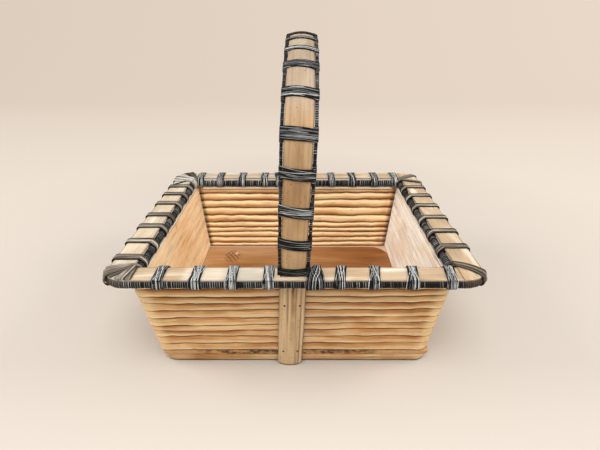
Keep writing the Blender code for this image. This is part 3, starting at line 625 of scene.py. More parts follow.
def rod_shade(side, number, seed, chance, stations, straight, fall, outside):
    """Crease, stain and tone of a rod; fall runs from zero at its top edge to one at its bottom edge.

    Much of this is painted light: shade in the seams and under the rod above, highlights on the rods'
    lower edges and where they turn the corners, and on the back and right walls inside, paler upper and
    browner lower halves.
    """
    along = stations[:, None]
    past_end = smooth(np.abs(along), straight - 0.010, straight + 0.002)
    low = number / (RODS - 1)

    def drift(offset, length):
        return waves(stations, seed + offset, length)[:, None]

    broken = np.clip(0.62 + 0.9 * drift(21, 0.022), 0.08, 1)
    # painted shade in the seams, under the rod above and along each rod's top
    seam = hump(fall, 1, 0.085) + 0.8 * hump(fall, 0, 0.06)
    # painted highlight along the lower edge of each outer rod
    cream = hump(fall, 0.76, 0.17) * clip(0.85 + 0.8 * drift(22, 0.025))
    # painted shade on the upper part of each outer rod, under the rod above
    top_shade = (1 - smooth(fall, 0.05, 0.60)) * clip(0.62 + 0.7 * drift(23, 0.035))
    out_crease = seam * broken * (1 - 0.75 * past_end)
    # paler where the rods turn the corners: painted highlight
    out_tone = cream + 0.14 * chance.random() + 0.18 * drift(27, 0.02) + 0.4 * past_end
    # top_shade is painted shade; the lower rows are also browner, darker towards the bottom
    out_stain = top_shade * (1 - 0.9 * past_end) + 0.35 * clip(drift(28, 0.010) - 0.35) + 0.30 * (low - 0.5)
    patch = 0.55 * clip(1.3 * drift(31, 0.028) - 0.15)
    if side == "front":
        patch = np.maximum(patch, hump(along, 0.005, 0.05) * clip(0.8 + 0.5 * drift(29, 0.02)))
    out_stain = np.maximum(out_stain, 0) * (1 - 0.6 * patch) - 0.75 * patch * smooth(fall, 0.1, 0.6)
    if side == "back":
        # painted light: each inner rod paler on its upper half, and browner on its lower half as painted
        # shade
        tone = (1 - smooth(fall, 0.30, 0.66)) * clip(0.95 + 0.5 * drift(24, 0.04))
        # browner over the last two centimetres of the rods' right ends
        right_end = 1 - smooth(along, -straight + 0.004, -straight + 0.022)
        stain = smooth(fall, 0.50, 0.92) * clip(0.90 + 0.5 * drift(25, 0.03))
        stain = stain + 0.55 * right_end * clip(0.7 + drift(30, 0.01))
        slivers = 0.7 * hump(fall, 0.42 + 0.12 * drift(32, 0.03), 0.045) * clip(2.2 * drift(33, 0.03) - 0.5)
        crease = seam * clip(broken + 0.25) + slivers
        # painted shade where the rods end against the side walls
        crease = crease + 0.8 * smooth(np.abs(along), straight - 0.006, straight)
        if number == 0:
            reed = 1 - smooth(fall, 0.20, 0.30)
            tone, stain = np.maximum(tone, reed), stain * (1 - reed)
            # painted shade in the gap under the reed
            crease = crease * (1 - reed) + 0.8 * hump(fall, 0.30, 0.05)
    elif side == "left":
        slant = along + 0.022 * fall + 0.0100 * low
        streak = waves(slant.ravel(), 77, 0.040).reshape(fall.shape)
        tone = 0.40 + 0.26 * streak
        stain = np.clip(0.04 - 0.36 * streak, 0, 0.4)
        # faint painted shade in the seams
        crease = seam * broken * 0.05
        if number == KNOT_ROD:
            crease = crease + hump(along, -0.0247, 0.0014) * hump(fall, 0.55, 0.14)
    else:
        streak = drift(26, 0.05)
        # painted light: each rod paler on top and browner low down; painted shade in the seams
        tone = 0.72 + 0.34 * streak + 0.10 * (1 - fall)
        stain = np.clip(0.04 - 0.34 * streak, 0, 0.5) + 0.12 * smooth(fall, 0.6, 1.0)
        crease = seam * broken * 0.22
    crease = np.where(outside, out_crease, crease)
    stain = np.where(outside, out_stain, stain)
    tone = np.where(outside, out_tone, tone)
    return stacked(clip(crease), np.clip(stain, -1, 1), clip(tone) + 2 * outside)


def build_rod(side, number, stations, angle, top, bottom, straight):
    """One rod of a wall, squarer outside than in, with an end that turns into each corner."""
    seed = 1000 * (SIDES.index(side) + 1) + number
    chance = random.Random(seed)
    angles = ring_angles(24, 0.5)
    outside = np.cos(angles) > 0
    near_end = clip((np.abs(stations) - straight + 0.008) / 0.012)[:, None]
    power = np.where(outside, OUT_SHARE, IN_SHARE[side]) * (1 - 0.45 * near_end * outside)
    across = squarish(np.cos(angles), power)
    upward = squarish(np.sin(angles), power * 0.9)
    half_height = ((top - bottom) / 2 - 0.00012)[:, None]
    height = ((top + bottom) / 2)[:, None] + upward * half_height
    bulge = 0.0005 * (1 + waves(stations, seed + 7, 0.025)[:, None])
    depth = np.maximum((1 - across) * WALL_THICKNESS / 2 + bulge * outside, 0.0001)
    depth = depth + 0.0006 * (1 - clip(half_height / 0.0048)) * outside
    inset, end_inset = wall_insets(side, height)
    reach = WALL_CORNER - depth
    corner = side_sizes(side)[1] - end_inset - WALL_CORNER
    share = clip(np.abs(stations) / straight)[:, None]
    along = np.where(angle > 0, corner + reach * np.sin(angle), share * corner) * np.sign(stations)[:, None]
    points = skewed(side_points(side, along, inset + WALL_CORNER - reach * np.cos(angle), height))
    shade = rod_shade(side, number, seed, chance, stations, straight, (1 - upward) / 2, outside)
    shape = Shape()
    shape.grid(points, stacked(stations[:, None], angles * 0.0045, chance.uniform(0, 50)), shade)
    name = f"{side}_rod_{number + 1:02d}"
    shape.build(f"cane_{name}", {"left": HONEY, "right": CREAM}.get(side, CANE), "peeled_cane", name)


def frame_path(half_x, half_y, radius, step):
    """Evenly spaced points and outward directions round a rectangle with round corners."""
    points, outs = [], []
    for turn, signs in enumerate(((1, 1), (-1, 1), (-1, -1), (1, -1))):
        for angle in np.radians(90) * (turn + np.linspace(0, 1, 9)):
            outs.append(np.array([math.cos(angle), math.sin(angle)]))
            points.append(signs * np.array([half_x - radius, half_y - radius]) + outs[-1] * radius)
    loop, outs = np.array(points + points[:1]), np.array(outs + outs[:1])
    places = travelled(loop)
    wanted = np.linspace(0, places[-1], int(places[-1] / step) + 1)[:-1]
    return sampled(wanted, places, loop), unit(sampled(wanted, places, outs)), wanted


def section_hoop(shape, half_x, half_y, radius, width, bottom, top, seed, stained):
    """A hoop of split cane with a rounded rectangular section and slightly wavy faces, with painted shade
    along its top and bottom edges.
    """
    path, out, places = frame_path(half_x, half_y, radius, 0.002)
    angles = ring_angles(16, 0.5)
    across, upward = squarish(np.cos(angles), 0.45), squarish(np.sin(angles), 0.45)
    inward = (1 - across) / 2 * width + HOOP_SAG / 2 * np.clip(waves(places, seed, 0.05), -1, 1)[:, None]
    height = (top + bottom) / 2 + upward * (top - bottom) / 2
    height = height - (upward > 0) * HOOP_SAG * (0.5 + 0.5 * waves(places, seed + 1, 0.03))[:, None]
    flat = path[:, None] - out[:, None] * np.maximum(inward, 0.0)[..., None]
    points = np.concatenate([flat, height[..., None]], -1)
    # painted shadow along the bottom edge, a contact shadow on the ground hoop, and painted shade along the
    # top edge
    crease = np.where(upward < 0, clip((-upward - 0.35) / 0.4), np.clip((upward - 0.8) / 0.2, 0, 0.6))
    stain = clip(0.22 + 0.6 * waves(places, seed + 2, 0.03))[:, None]
    tone = clip(0.28 + 0.7 * waves(places, seed + 3, 0.03))[:, None]
    flow = stacked(places[:, None], angles * 0.004, seed)
    # stained scales the painted shade and the stain alike
    shape.grid(points, flow, stacked(crease * stained, stain * stained, tone), close=True)


def back_reed(shape):
    """The split reed inside the top of the back wall, a narrow pale strip under the cord."""
    along = np.linspace(-0.158, 0.158, 120)
    angles = ring_angles(12, 0.5)
    middle = 0.1190 + 0.0005 * waves(along, 91, 0.06)
    height = middle[:, None] + 0.0018 * squarish(np.sin(angles), 0.6)
    inset = wall_insets("back", 0.119)[0] + WALL_THICKNESS + 0.0012
    inward = inset + (0.0018 + 0.0004 * waves(along, 92, 0.02)[:, None]) * np.cos(angles)
    points = skewed(side_points("back", along[:, None], inward, height))
    shape.grid(points, stacked(along[:, None], 0.004 * angles, 9.1), (0.0, 0.0, 0.5))


def build_base():
    shape = Shape()
    half_x = RIM_LENGTH / 2 - SHORT_WALL_INSETS[1] - 0.0005
    half_y = RIM_DEPTH / 2 - LONG_WALL_INSETS[1] - 0.0005
    section_hoop(shape, half_x, half_y, 0.013, 0.009, 0, HOOP_TOP, 11, 1.0)
    shape.build("ground_hoop", CANE, "peeled_cane", "base_hoop")
    shape = Shape()
    long_inset, short_inset = wall_insets("front", WALL_TOP)
    half_x, half_y = RIM_LENGTH / 2 - short_inset, RIM_DEPTH / 2 - long_inset
    section_hoop(shape, half_x, half_y, 0.0125, 0.0088, 0.1191, 0.1218, 21, 0.5)
    back_reed(shape)
    shape.build("rail_reed", CREAM, "peeled_cane", "top_reed")
    dress(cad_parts["base_board"], BOARD)


# ---------------------------------------------------------------- rim


def build_slat(side):
    """One flat slat with eased edges, a slightly uneven face and, front and back, a notch for the lath."""
    half = side_sizes(side)[1]
    if side in LONG_SIDES:
        half = half - SLAT_WIDTH - FIT_GAP
        centre = handle_shift(RIM_TOP) * (1 if side == "front" else -1)
        limits = centre + np.array([-1, 1]) * (lath_width(RIM_TOP - SLAT_THICKNESS) / 2 + 2 * FIT_GAP)
        along = np.concatenate([np.linspace(-half, half, 160), limits - 0.00001, limits + 0.00001])
        along = np.sort(along)[:, None]
        notch = (along > limits[0]) & (along < limits[1])
        edge = np.where(notch, LONG_WALL_INSETS[0] - LATH_THICKNESS - 2 * FIT_GAP, SLAT_WIDTH)
        outer = 0 * along
    else:
        along = np.linspace(-half, half, 160)[:, None]
        past = clip((np.abs(along) - half + RIM_CORNER) / RIM_CORNER)
        edge = SLAT_WIDTH
        outer = np.minimum(RIM_CORNER * (1 - np.sqrt(1 - past ** 2)), edge - 0.002)
    across = np.concatenate([np.linspace(0, 1, 14), np.linspace(1, 0, 6)])
    upper = np.arange(len(across)) < 14
    inward = outer + across * (edge - outer)
    near = np.minimum(inward - outer, edge - inward)
    ease = SLAT_BEVEL * clip(1 - near / SLAT_BEVEL)
    seed = 300 + SIDES.index(side)
    places, tones, dulls = SLAT_TONES[side]

    def drift(offset, length, octaves=3):
        return waves(along[:, 0], seed + offset, length, octaves)[:, None]

    top = RIM_TOP - ease - 0.0002 * (1 + drift(0, 0.03) * np.cos(across * 5))
    height = np.where(upper, top, RIM_TOP - SLAT_THICKNESS + ease * 0.5)
    dull = np.interp(along, places, dulls)
    tone = clip(np.interp(along, places, tones) + 0.10 * drift(5, 0.05, 2))
    stain = 0.45 * clip(1.2 * drift(9, 0.05)) * (1 - dull) - dull
    shape = Shape()
    points = side_points(side, along, inward, height)
    shape.grid(points, stacked(along, inward, seed), stacked(0.65 * clip(1 - near / 0.0016), stain, tone))
    shape.build(f"split_{side}_slat", SLAT, "pale_slat", f"{side}_rim_slat")


def wound_tube(shape, centre, out, up, places, half_width, half_height, pitch, seed, close, brown, grey):
    """A cord wound with thin strands: it swells at each turn, and grey is the share of turns that get a
    painted highlight along their crest; the grooves between turns get painted shade.
    """
    angles = ring_angles(16)
    phase = (places / pitch + 0.25 * waves(places, seed, pitch * 3, 2))[:, None] + 0.12 * np.sin(angles)
    turn = np.floor(phase).astype(int)
    spot = phase - turn
    ridge = np.sin(np.pi * spot) ** 0.6
    tones = np.random.default_rng(seed).uniform(0, 1, TURN_TONES)

    def drawn(offset):
        return tones[(turn + offset) % TURN_TONES]

    local = np.clip(grey + 0.25 * waves(places, seed + 40, 0.03, 2), 0.05, 0.95)[:, None]
    bright = (0.62 + 0.40 * drawn(31)) * np.minimum(1, 0.3 + local)
    highlit_turn = drawn(0) < 0.42 + 0.5 * local
    # painted highlight along the crest of each highlit turn
    tone = hump(spot, 0.5, 0.19) * np.where(highlit_turn, bright, 0.25 * drawn(9)) - 0.08
    swell = 1 - 0.22 * (1 - ridge) - 0.06 * drawn(77)
    swell = swell * (1 - 0.03 * (1 + waves(places, seed + 3, 0.02)))[:, None]
    points = centre[:, None] + out[:, None] * (half_width * swell * np.cos(angles))[..., None]
    points = points + up[:, None] * (half_height * swell * np.sin(angles))[..., None]
    flow = stacked(angles * 0.004, phase * pitch, turn * 0.37 + seed)
    # painted shade in the grooves between turns
    shape.grid(points, flow, stacked(clip(1 - ridge * 1.3), np.reshape(brown, (-1, 1)), tone), close=close)


def rim_cord(name, inset, radius, height, half_width, half_height, pitch, seed, brown, grey, fading):
    """A wound cord once round the rim, browner at the corners, with fewer painted crest highlights to the
    right.
    """
    path, out, places = frame_path(RIM_LENGTH / 2 - inset, RIM_DEPTH / 2 - inset, radius, pitch / 7)
    flat = path - out * 0.00025 * waves(places, seed + 13, 0.02)[:, None]
    corner = np.abs(path) - (RIM_LENGTH / 2, RIM_DEPTH / 2)
    brown = clip(brown + 0.5 * (1 - smooth(np.linalg.norm(corner, axis=1), 0.020, 0.032)))
    centre = np.column_stack([flat, height + 0.0002 * waves(places, seed + 17, 0.03)])
    out = np.column_stack([out, 0 * places])
    up = 0 * out + (0, 0, 1)
    grey = grey - fading * smooth(path[:, 0], 0.02, 0.10)
    shape = Shape()
    wound_tube(shape, centre, out, up, places, half_width, half_height, pitch, seed, True, brown, grey)
    shape.build(name, VINE, "dark_vine", "rim_lashing")


def wrap_profile(rail, lift, stretch, tucked):
    """Closed (inward, height) outline of a strand round a rail; a tucked one stays inside the outer cord."""
    top = RIM_TOP + FIT_GAP * 0.5 + lift
    under = RIM_TOP - SLAT_THICKNESS - FIT_GAP - 0.0006
    inner = rail + INNER_CORD_INSET - SLAT_WIDTH
    reach = 0.0006 if tucked else OUTER_CORD_RADIUS + lift
    outline = [(rail * share + 0.0010 * (1 - share), top) for share in np.linspace(1, 0, 12)]
    if not tucked:
        outline.append((-0.0016 - lift * 0.3, RIM_TOP - 0.0004 + lift * 0.5))
    for angle in np.radians((140, 165, 190, 215, 240, 268)):
        across = (OUTER_CORD_INSET + reach * math.cos(angle)) * stretch
        outline.append((across, OUTER_CORD_HEIGHT + reach * math.sin(angle)))
    outline += [
        (OUTER_CORD_INSET + OUTER_CORD_RADIUS * 0.8, OUTER_CORD_HEIGHT - 0.0012),
        (OUTER_CORD_INSET + OUTER_CORD_RADIUS + 0.001, under),
        (rail * 0.6, under), (inner - INNER_CORD_HALF_WIDTH, under), (inner, INNER_CORD_HEIGHT - 0.002),
    ]
    for angle in np.radians((310, 335, 0, 25, 48)):
        across = inner + (INNER_CORD_HALF_WIDTH + lift) * math.cos(angle)
        outline.append((across, INNER_CORD_HEIGHT + (INNER_CORD_HALF_HEIGHT + lift) * math.sin(angle)))
    return np.array(outline + [(rail + 0.0022, top - 0.0010)])


def outline_normals(outline):
    """Directions out of a closed outline."""
    ahead = unit(np.roll(outline, -1, 0) - np.roll(outline, 1, 0))
    normal = np.stack([ahead[:, 1], -ahead[:, 0]], -1)
    return normal * np.sign(np.sum(normal * (outline - outline.mean(0))))


def strand_section(run, width, seed, length):
    """Offsets across a flat strand along its run, then half heights round its section and creases that
    darken its two edges with painted shade.
    """
    angles = ring_angles(8)
    across = squarish(np.cos(angles), 0.8) * (width / 2 * (1 + 0.10 * waves(run, seed, length)))[:, None]
    return across, np.sin(angles) / 2, clip(np.abs(np.cos(angles)) * 1.6 - 0.9)


def wrap_strand(
    shape, outer, inner, lift, width, thickness, seed, tone, brown=0, bow=0, stretch=1, tucked=False
):
    """One strand from a point on the rim's outer edge to one on its inner edge, and back underneath."""
    rail = math.dist(outer, inner)
    direction = np.subtract(inner, outer) / rail
    outline = resample(wrap_profile(rail, lift + thickness / 2, stretch, tucked), 72, closed=True)
    normal = outline_normals(outline)
    sideways = np.array([-direction[1], direction[0]])
    run = np.linspace(0, 0.1, len(outline))
    sway = bow * np.sin(np.pi * clip(outline[:, 0] / rail)) + 0.00025 * waves(run, seed, 0.02)
    centre = np.column_stack([outer + direction * outline[:, :1] + sideways * sway[:, None], outline[:, 1]])
    normal = np.column_stack([direction * normal[:, :1], normal[:, 1]])
    across, up, crease = strand_section(run, width, seed + 4, 0.015)
    points = centre[:, None] + np.append(sideways, 0) * across[..., None]
    points = points + normal[:, None] * (thickness * up)[:, None]
    flow = stacked(run[:, None], across + seed * 0.013, seed * 0.71)
    shape.grid(points, flow, stacked(crease, brown, tone), close=True)


def crossing_band(shape, side, place, seed, flat=False, skew=0.0, bright=0.4):
    """A band over one rail, of broad ribbons edged with thin near-black strands that paint shadow lines if
    flat, or else fine strands on dark ones.
    """
    chance = random.Random(seed)
    width = BAND_WIDTHS[side]

    def strand(offset, lean, lift, broad, tone, brown=0.0, thick=STRAND_THICKNESS):
        outer = side_points(side, place + offset + lean / 2, 0, 0)[:2]
        inner = side_points(side, place + offset - skew - lean / 2, SLAT_WIDTH, 0)[:2]
        wrap_strand(shape, outer, inner, lift, broad, thick, chance.randrange(9999), tone, brown)

    if flat:
        for index in (-1, 0, 1):
            lean = chance.uniform(-0.0010, 0.0010)
            tone = chance.uniform(0.62, 0.88) if index == 0 else chance.uniform(0.38, 0.66)
            strand(index * width * 0.28, lean, 0, width * 0.34, tone, 0.12)
        # painted shadow: a thin near-black strand along each edge of the flat band
        for index in (-1, 1):
            strand(index * width * 0.47, chance.uniform(-0.0008, 0.0008), 0.0002, 0.0012, 0.02)
        return
    for index in range(BAND_STRANDS):
        tone = chance.uniform(-0.12, 0.05)
        offset = (index - (BAND_STRANDS - 1) / 2) * width / BAND_STRANDS
        strand(offset, chance.uniform(-0.0008, 0.0008), 0, width / BAND_STRANDS, tone)
    count = round(5 + 10 * bright)
    for index in range(count):
        offset = (index - (count - 1) / 2) * 0.72 * width / count
        lean = chance.uniform(0.0010, 0.0062) * (1 if index % 2 else -1)
        tone = chance.uniform(0.62, 1.0)
        strand(offset, lean, 0.0004 + 0.0003 * (index % 2), FINE_WIDTH, tone, thick=FINE_THICKNESS)


def knot(shape, side, seed):
    """The knot beside the lath: layers of fine strands, crossed and bowed to a rounded pad."""
    chance = random.Random(seed)
    middle = KNOT_PLACES[side]
    layers = (0.0, 11, 0.0014), (0.0070, 9, FINE_WIDTH), (-0.0070, 9, FINE_WIDTH)
    for layer, (lean, count, width) in enumerate(layers):
        spread = KNOT_SPREAD * (1 - 0.2 * (layer > 0))
        for index in range(count):
            share = 2 * index / (count - 1) - 1
            outer = side_points(side, middle + share * spread + lean / 2, 0, 0)[:2]
            inner = side_points(side, middle + share * spread * 0.6 - lean / 3, SLAT_WIDTH, 0)[:2]
            tone = chance.uniform(-0.12, 0.05) if layer == 0 else chance.choice((0.0, 0.08, 0.40, 0.62, 0.85))
            wrap_strand(
                shape, outer, inner, 0.0005 * layer, width, 0.0010, seed * 23 + layer * 19 + index, tone,
                bow=-share * 0.0026,
            )


def corner_wrap(shape, sign_x, sign_y, seed, leaves, brown):
    """Broad leaf-like strands over a corner of the rim.

    Each leaf gives its distance from the corner's tip along the outer edge and from the inner corner
    along the inner edge, below zero on the side rail and above zero on the long rail, then its width
    and its tone.
    """
    half = np.array([RIM_LENGTH / 2, RIM_DEPTH / 2])
    signs = np.array([sign_x, sign_y])
    arc = RIM_CORNER * math.pi / 4
    for index, (outer_run, inner_run, width, tone) in enumerate(leaves):
        run = abs(outer_run)
        angle = math.pi / 4 * (1 - min(run / arc, 1))
        inset = [RIM_CORNER * (1 - math.cos(angle)), RIM_CORNER * (1 - math.sin(angle)) + max(run - arc, 0)]
        outer = half - (inset if outer_run < 0 else inset[::-1])
        inner = half - SLAT_WIDTH
        inner[1 if inner_run < 0 else 0] -= abs(inner_run)
        facing = np.abs(unit(inner - outer))[0 if outer_run < 0 else 1]
        stretch = min(1.5, 1 / max(facing, 0.5)) if run > arc else 1.0
        tucked = sign_y < 0 and sign_x < 0 and outer_run > -0.003
        bow = -0.0026 if sign_y < 0 < sign_x else 0.0
        wrap_strand(
            shape, signs * outer, signs * inner, 0.0004 * (index % 3), width, STRAND_THICKNESS,
            seed * 13 + index, tone, brown, bow, stretch, tucked,
        )


def build_rim():
    for side in SIDES:
        build_slat(side)
    rim_cord(
        "vine_outer_cord", OUTER_CORD_INSET, RIM_CORNER, OUTER_CORD_HEIGHT + 0.0006,
        OUTER_CORD_RADIUS + 0.0003, OUTER_CORD_RADIUS + 0.0009, OUTER_CORD_PITCH, 1, 0.0, 0.72, 0.18,
    )
    rim_cord(
        "vine_inner_cord", INNER_CORD_INSET, INNER_CORD_CORNER, INNER_CORD_HEIGHT, INNER_CORD_HALF_WIDTH,
        INNER_CORD_HALF_HEIGHT, INNER_CORD_PITCH, 2, 0.06, 0.75, 0.0,
    )
    seeds = iter(range(11, 99))
    shape = Shape()
    for share, bright, skew in FRONT_BANDS:
        crossing_band(shape, "front", share * RIM_LENGTH, next(seeds), skew=skew, bright=bright)
    for share in BACK_BANDS:
        crossing_band(shape, "back", -share * RIM_LENGTH, next(seeds), bright=0.3)
    for side in LONG_SIDES:
        knot(shape, side, next(seeds))
    shape.build("vine_crossings", VINE, "dark_vine", "rim_lashing")
    shape = Shape()
    for share in LEFT_BANDS:
        crossing_band(shape, "left", -share * RIM_DEPTH, next(seeds), flat=True)
    for share in RIGHT_BANDS:
        crossing_band(shape, "right", share * RIM_DEPTH, next(seeds), flat=True)
    for (sign_x, sign_y), (leaves, brown) in CORNER_LEAVES.items():
        corner_wrap(shape, sign_x, sign_y, next(seeds), leaves, brown)
    shape.build("vine_side_crossings", BROWN_VINE, "dark_vine", "rim_lashing")


# ---------------------------------------------------------------- handle


def handle_shift(height):
    return FOOT_SHIFT + (TOP_SHIFT - FOOT_SHIFT) * height / HANDLE_TOP


def strap_reach(height):
    return RIM_DEPTH / 2 - wall_insets("front", height)[0] + FIT_GAP + LATH_THICKNESS / 2


def lath_line():
    """Fine (y, z) line of the lath's middle from the front foot over the top to the back foot."""
    line = [(-strap_reach(z), z) for z in np.linspace(0, RIM_TOP, 60)]
    upright = RIM_TOP + FLARE_HEIGHT
    bulge = LONG_WALL_SLOPE * FLARE_HEIGHT / 2
    half_span = strap_reach(RIM_TOP) + bulge
    rise = HANDLE_TOP - LATH_THICKNESS / 2 - upright
    for share in np.linspace(0, 1, 40)[1:-1]:
        line.append((-(half_span - bulge * (1 - share) ** 2), RIM_TOP + FLARE_HEIGHT * share))
    for angle in np.radians(np.linspace(0, 90, 60)):
        line.append((-half_span * math.cos(angle), upright + rise * math.sin(angle)))
    return np.array(line + [(-y, z) for y, z in reversed(line[:-1])])


def lath_width(height):
    taper = clip((height - RIM_TOP) / LATH_TAPER + 1)
    spread = clip((height - RIM_TOP) / FLARE_HEIGHT)
    return STRAP_WIDTH + (LATH_WIDTH - STRAP_WIDTH) * taper + (LATH_TOP_WIDTH - LATH_WIDTH) * spread


def handle_frame(step):
    """Points, outward directions and distances along the whole lath."""
    line = lath_line()
    line = resample(line, int(travelled(line)[-1] / step))
    ahead = unit(np.gradient(line, axis=0))
    return line, np.stack([-ahead[:, 1], ahead[:, 0]], -1), travelled(line)


def handle_points(y, z, out_y, out_z, across, distance):
    """Points from places on the lath's middle, with distances across it and out from it."""
    return stacked(handle_shift(z) + across, y + out_y * distance, z + out_z * distance)


def build_lath():
    line, outward, places = handle_frame(0.0015)
    y, height = line[:, :1], line[:, 1:]
    share = np.concatenate([np.linspace(-1, 1, 41), np.linspace(1, -1, 9)])
    upper = np.arange(len(share)) < 41
    crown = upper * (1.0 - 0.4 * np.abs(share) ** 2.4)
    half = lath_width(height) / 2
    uneven = 0.0002 * waves(places, 5, 0.03)[:, None] - 0.003 * clip(1 - height / 0.006) ** 2
    half = np.minimum(half + uneven, half)
    ridges = np.abs(0.00018 * waves(share * 0.0145, 8, 0.003))
    wander = 0.0012 * waves(height[:, 0], 77, 0.008)[:, None]
    crack = hump(share * half, 0.0004 + wander, 0.0007) * clip((height - 0.108) / 0.008)
    crack = crack * (height < 0.1245) * (y < 0)
    out = (crown - 0.5) * LATH_THICKNESS - upper * (ridges + 0.0022 * crack)
    points = handle_points(y, height, outward[:, :1], outward[:, 1:], share * half, out)
    points[..., 2] = np.maximum(points[..., 2], 0.0)
    # dark edges, the right one darker: partly painted shade on the lath's shaded right side
    edges = clip((np.abs(share) - 0.88) / 0.12) * np.where(share > 0, 0.9, 0.6)
    upper_part = smooth(height, 0.26, 0.32)
    # painted contact shadow along the foot of the strap; the upper handle is a little darker too
    ends = np.maximum(1 - smooth(height, 0.0008, 0.0040), 0.28 * upper_part)
    crease = np.maximum(np.maximum(edges, crack), ends)
    middle = hump(share, 0.10, 0.20) * clip((height - 0.03) / 0.05)
    middle = middle * clip(0.7 + 0.5 * waves(places, 31, 0.015)[:, None])
    past_flare = smooth(height, 0.17, 0.23)
    worn = 0.36 * past_flare + 0.12 * clip(waves(places, 33, 0.05))[:, None] - 0.78 * upper_part
    pale = 0.15 + 0.06 * smooth(height, 0.34, 0.36) + 0.12 * (1 - past_flare)
    stain = np.clip(np.where(height < 0.13, middle, worn), -1, 1)
    shape = Shape()
    flow = stacked(places[:, None], share * half, 3.3)
    shape.grid(points, flow, stacked(crease, stain, np.where(height < 0.13, 0.60, pale)))
    shape.build("split_lath", LATH, "bamboo_lath", "handle_lath")


def rim_places():
    """Points, outward directions and distances along the lath from rim to rim."""
    line, outward, places = handle_frame(0.0003)
    above = line[:, 1] >= RIM_TOP
    return line[above], outward[above], places[above] - places[above][0]


def build_handle_cords():
    line, outward, places = rim_places()
    keep = (places > 0.001) & (places < places[-1] - 0.001)
    here, out, along = line[keep], outward[keep], places[keep]
    up = np.column_stack([0 * along, out])
    side = 0 * up + (1, 0, 0)
    cords = (-1, "left", LEFT_CORD_RADIUS, 0.50), (1, "right", RIGHT_CORD_RADIUS, 0.80)
    for sign, label, radius, grey in cords:
        across = sign * (lath_width(here[:, 1]) / 2 + FIT_GAP + radius * 0.95)
        across = across + 0.0002 * waves(along, 40 + sign, 0.015)
        centre = handle_points(*here.T, *out.T, across, 0)
        shape = Shape()
        wound_tube(
            shape, centre, side, up, along, radius * 1.05, radius * 1.15, EDGE_CORD_PITCH, 60 + sign, False,
            0.0, grey,
        )
        shape.build(f"vine_{label}_edge_cord", VINE, "dark_vine", "handle_lashing")


def band_outline(width, lift):
    """Closed outline of a strand round the handle, as (across, outward) points."""
    edge = width / 2 + FIT_GAP - 0.0006 + lift * 0.6
    left, right = edge + 2 * LEFT_CORD_RADIUS, edge + 2 * RIGHT_CORD_RADIUS
    back = -LATH_THICKNESS / 2 - FIT_GAP - lift
    crown = LATH_THICKNESS / 2 + FIT_GAP * 0.5 + lift
    outline = [(-width / 2, back), (0, back), (width / 2, back)]
    outline += [(right, -0.0016), (right + 0.0001, 0.0), (right, 0.0014)]
    outline += [(share * width / 2, crown - 0.0022 * share ** 2) for share in np.linspace(1, -1, 9)]
    return np.array(outline + [(-left, 0.0014), (-left - 0.0001, 0.0), (-left, -0.0016)])


def handle_strand(shape, line, outward, places, place, tilt, lift, width, thickness, seed, tone):
    """One strand round the lath and its two edge cords, tilted from left to right."""
    middle = np.interp(place, places, line[:, 1])
    outline = resample(band_outline(lath_width(middle), lift + thickness / 2), 60, closed=True)
    run = np.linspace(0, 0.08, len(outline))
    front = np.where(outline[:, 1] > 0, 1, -1)
    shift = tilt * np.clip(outline[:, 0] / 0.017, -1, 1) * front + 0.0002 * waves(run, seed, 0.02)
    aside, up, crease = strand_section(run, width, seed + 3, 0.012)
    spot = place + shift[:, None] + aside
    section = outline[:, None] + outline_normals(outline)[:, None] * (thickness * up)[:, None]
    across, distance = np.moveaxis(section, -1, 0)
    spots = [np.interp(spot, places, column) for column in (*line.T, *outward.T)]
    flow = stacked(run[:, None], aside + seed * 0.011, seed * 0.53)
    shape.grid(handle_points(*spots, across, distance), flow, stacked(crease, 0, tone), close=True)


def build_handle_bands():
    line, outward, places = rim_places()
    length = places[-1]
    shape = Shape()
    seed = 500
    bands = [(0.0052, 0.0090, 0.0, 0.0)]
    for share, bright in HANDLE_BANDS:
        tilt = 0.0021 if share < 0.4 else 0.0015
        bands.append((share * length / 2, 0.0096 if share > 0.7 else 0.0118, tilt, bright))
    for place, width, tilt, bright in bands:
        for middle, sign in ((place, -1), (length - place, 1)):
            seed += 1
            chance = random.Random(seed)
            for index in range(BAND_STRANDS):
                offset = (index - (BAND_STRANDS - 1) / 2) * width / BAND_STRANDS
                lean = sign * tilt + chance.uniform(-0.0006, 0.0006)
                handle_strand(
                    shape, line, outward, places, middle + offset, lean, 0, width / BAND_STRANDS,
                    STRAND_THICKNESS, seed * 17 + index, chance.uniform(-0.12, 0.05),
                )
            count = round(3 + 11 * bright)
            for index in range(count):
                offset = (index - (count - 1) / 2) * 0.86 * width / count
                lean = sign * tilt + chance.uniform(-0.0016, 0.0016)
                tone = chance.uniform(0.50, 0.95) * min(1, 0.75 + bright)
                handle_strand(
                    shape, line, outward, places, middle + offset, lean, 0.0003 + 0.0003 * (index % 2),
                    FINE_WIDTH, FINE_THICKNESS, seed * 19 + index, tone,
                )
    shape.build("vine_handle_bands", VINE, "dark_vine", "handle_lashing")


def build_handle():
    build_lath()
    build_handle_cords()
    build_handle_bands()
    for name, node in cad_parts.items():
        if "nail" in name:
            dress(node, NAIL)


# ---------------------------------------------------------------- studio


FLOOR_DARK = (0.520, 0.470, 0.420)
FLOOR_PALE = (0.540, 0.490, 0.440)
NEAR_LEFT = (0.870, 0.765, 0.655)
NEAR_RIGHT = (0.925, 0.810, 0.690)
BACKDROP_LEFT = (0.730, 0.617, 0.515)
BACKDROP_RIGHT = (0.815, 0.686, 0.571)
LAMP_COLOUR = (1.0, 0.985, 0.96)


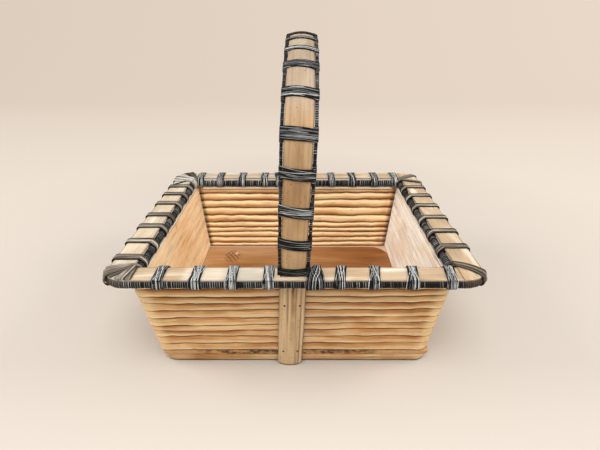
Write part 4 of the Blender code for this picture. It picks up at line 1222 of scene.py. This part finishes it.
def stage_material():
    """A pale floor that takes the shadow, and a backdrop that glows for the camera, with painted light
    falloff:
    darker to the left and further back.
    """
    material = Material("pale_studio")
    tree = material.tree
    place = material.place()
    x, y, _ = place.split()
    soft = place.grain((0.8, 0.8, 0.8), 1.0)
    put(soft.ramp((0.3, FLOOR_DARK), (0.7, FLOOR_PALE)), material.inputs["Base Color"])
    put(0.9, material.inputs["Roughness"])
    put(0.1, material.inputs["Specular IOR Level"])
    # painted light falloff on the glowing backdrop
    across = x * 0.28 + 0.5
    far = across.ramp((0.0, BACKDROP_LEFT), (1.0, BACKDROP_RIGHT))
    near = across.ramp((0.30, NEAR_LEFT), (0.80, NEAR_RIGHT))
    backdrop = near.mix((y * 0.5).ramp((0.20, 0.0), (0.85, 1.0)), far)
    distance = (x.maths("POWER", 2.0) + y.maths("POWER", 2.0)).maths("POWER", 0.5)
    away = distance.ramp((0.38, 0.0), (0.80, 1.0))
    seen = Value(add_node(tree, "ShaderNodeLightPath", {}), "Is Camera Ray")
    glow = Value(add_node(tree, "ShaderNodeEmission", {"Color": backdrop}))
    shader = Value(tree.nodes["Principled BSDF"])
    mixed = Value(add_node(tree, "ShaderNodeMixShader", {0: away * seen, 1: shader, 2: glow}))
    put(mixed, tree.nodes["Material Output"].inputs["Surface"])
    return material.data


def build_stage():
    profile = [(-3.0, 0.0), (1.6, 0.0)]
    for angle in np.radians(np.linspace(5, 90, 18)):
        profile.append((1.6 + 1.2 * math.sin(angle), 1.2 - 1.2 * math.cos(angle)))
    profile.append((2.8, 4.0))
    shape = Shape()
    points = np.array([[(x, y, z) for y, z in profile] for x in (-5.0, 5.0)])
    shape.grid(points, np.zeros(3), np.zeros(3), wrap=False)
    sweep = shape.item("studio_sweep", stage_material())


def add_lamp(name, place, target, size, power):
    data = bpy.data.lights.new(name, "AREA")
    data.shape = "DISK"
    data.size = size
    data.energy = power
    data.color = LAMP_COLOUR
    lamp = linked(name, data)
    lamp.location = place
    lamp.rotation_euler = (Vector(target) - Vector(place)).to_track_quat("-Z", "Y").to_euler()


def build_light():
    world = bpy.data.worlds.new("soft_room")
    bpy.context.scene.world = world
    world.use_nodes = True
    background = world.node_tree.nodes["Background"]
    background.inputs[0].default_value = (1.0, 0.985, 0.965, 1)
    background.inputs[1].default_value = 0.62
    add_lamp("left_lamp", (-1.65, 0.0, 1.15), (0, 0, 0.08), 1.1, 20)
    add_lamp("right_lamp", (1.65, 0.0, 1.15), (0, 0, 0.08), 1.1, 20)
    add_lamp("top_lamp", (0.0, -1.0, 1.75), (0, 0, 0.1), 1.3, 28)


def build_camera():
    data = bpy.data.cameras.new("photo_camera")
    data.lens = 27.0
    data.sensor_width = 36.0
    data.clip_start = 0.01
    camera = linked("photo_camera", data)
    camera.location = (0.0054, -0.567, 0.378)
    camera.rotation_euler = (math.radians(65.33), 0, 0)
    bpy.context.scene.camera = camera
    bpy.context.scene.view_settings.view_transform = "Standard"


build_walls()
build_base()
build_rim()
build_handle()
build_stage()
build_light()
build_camera()
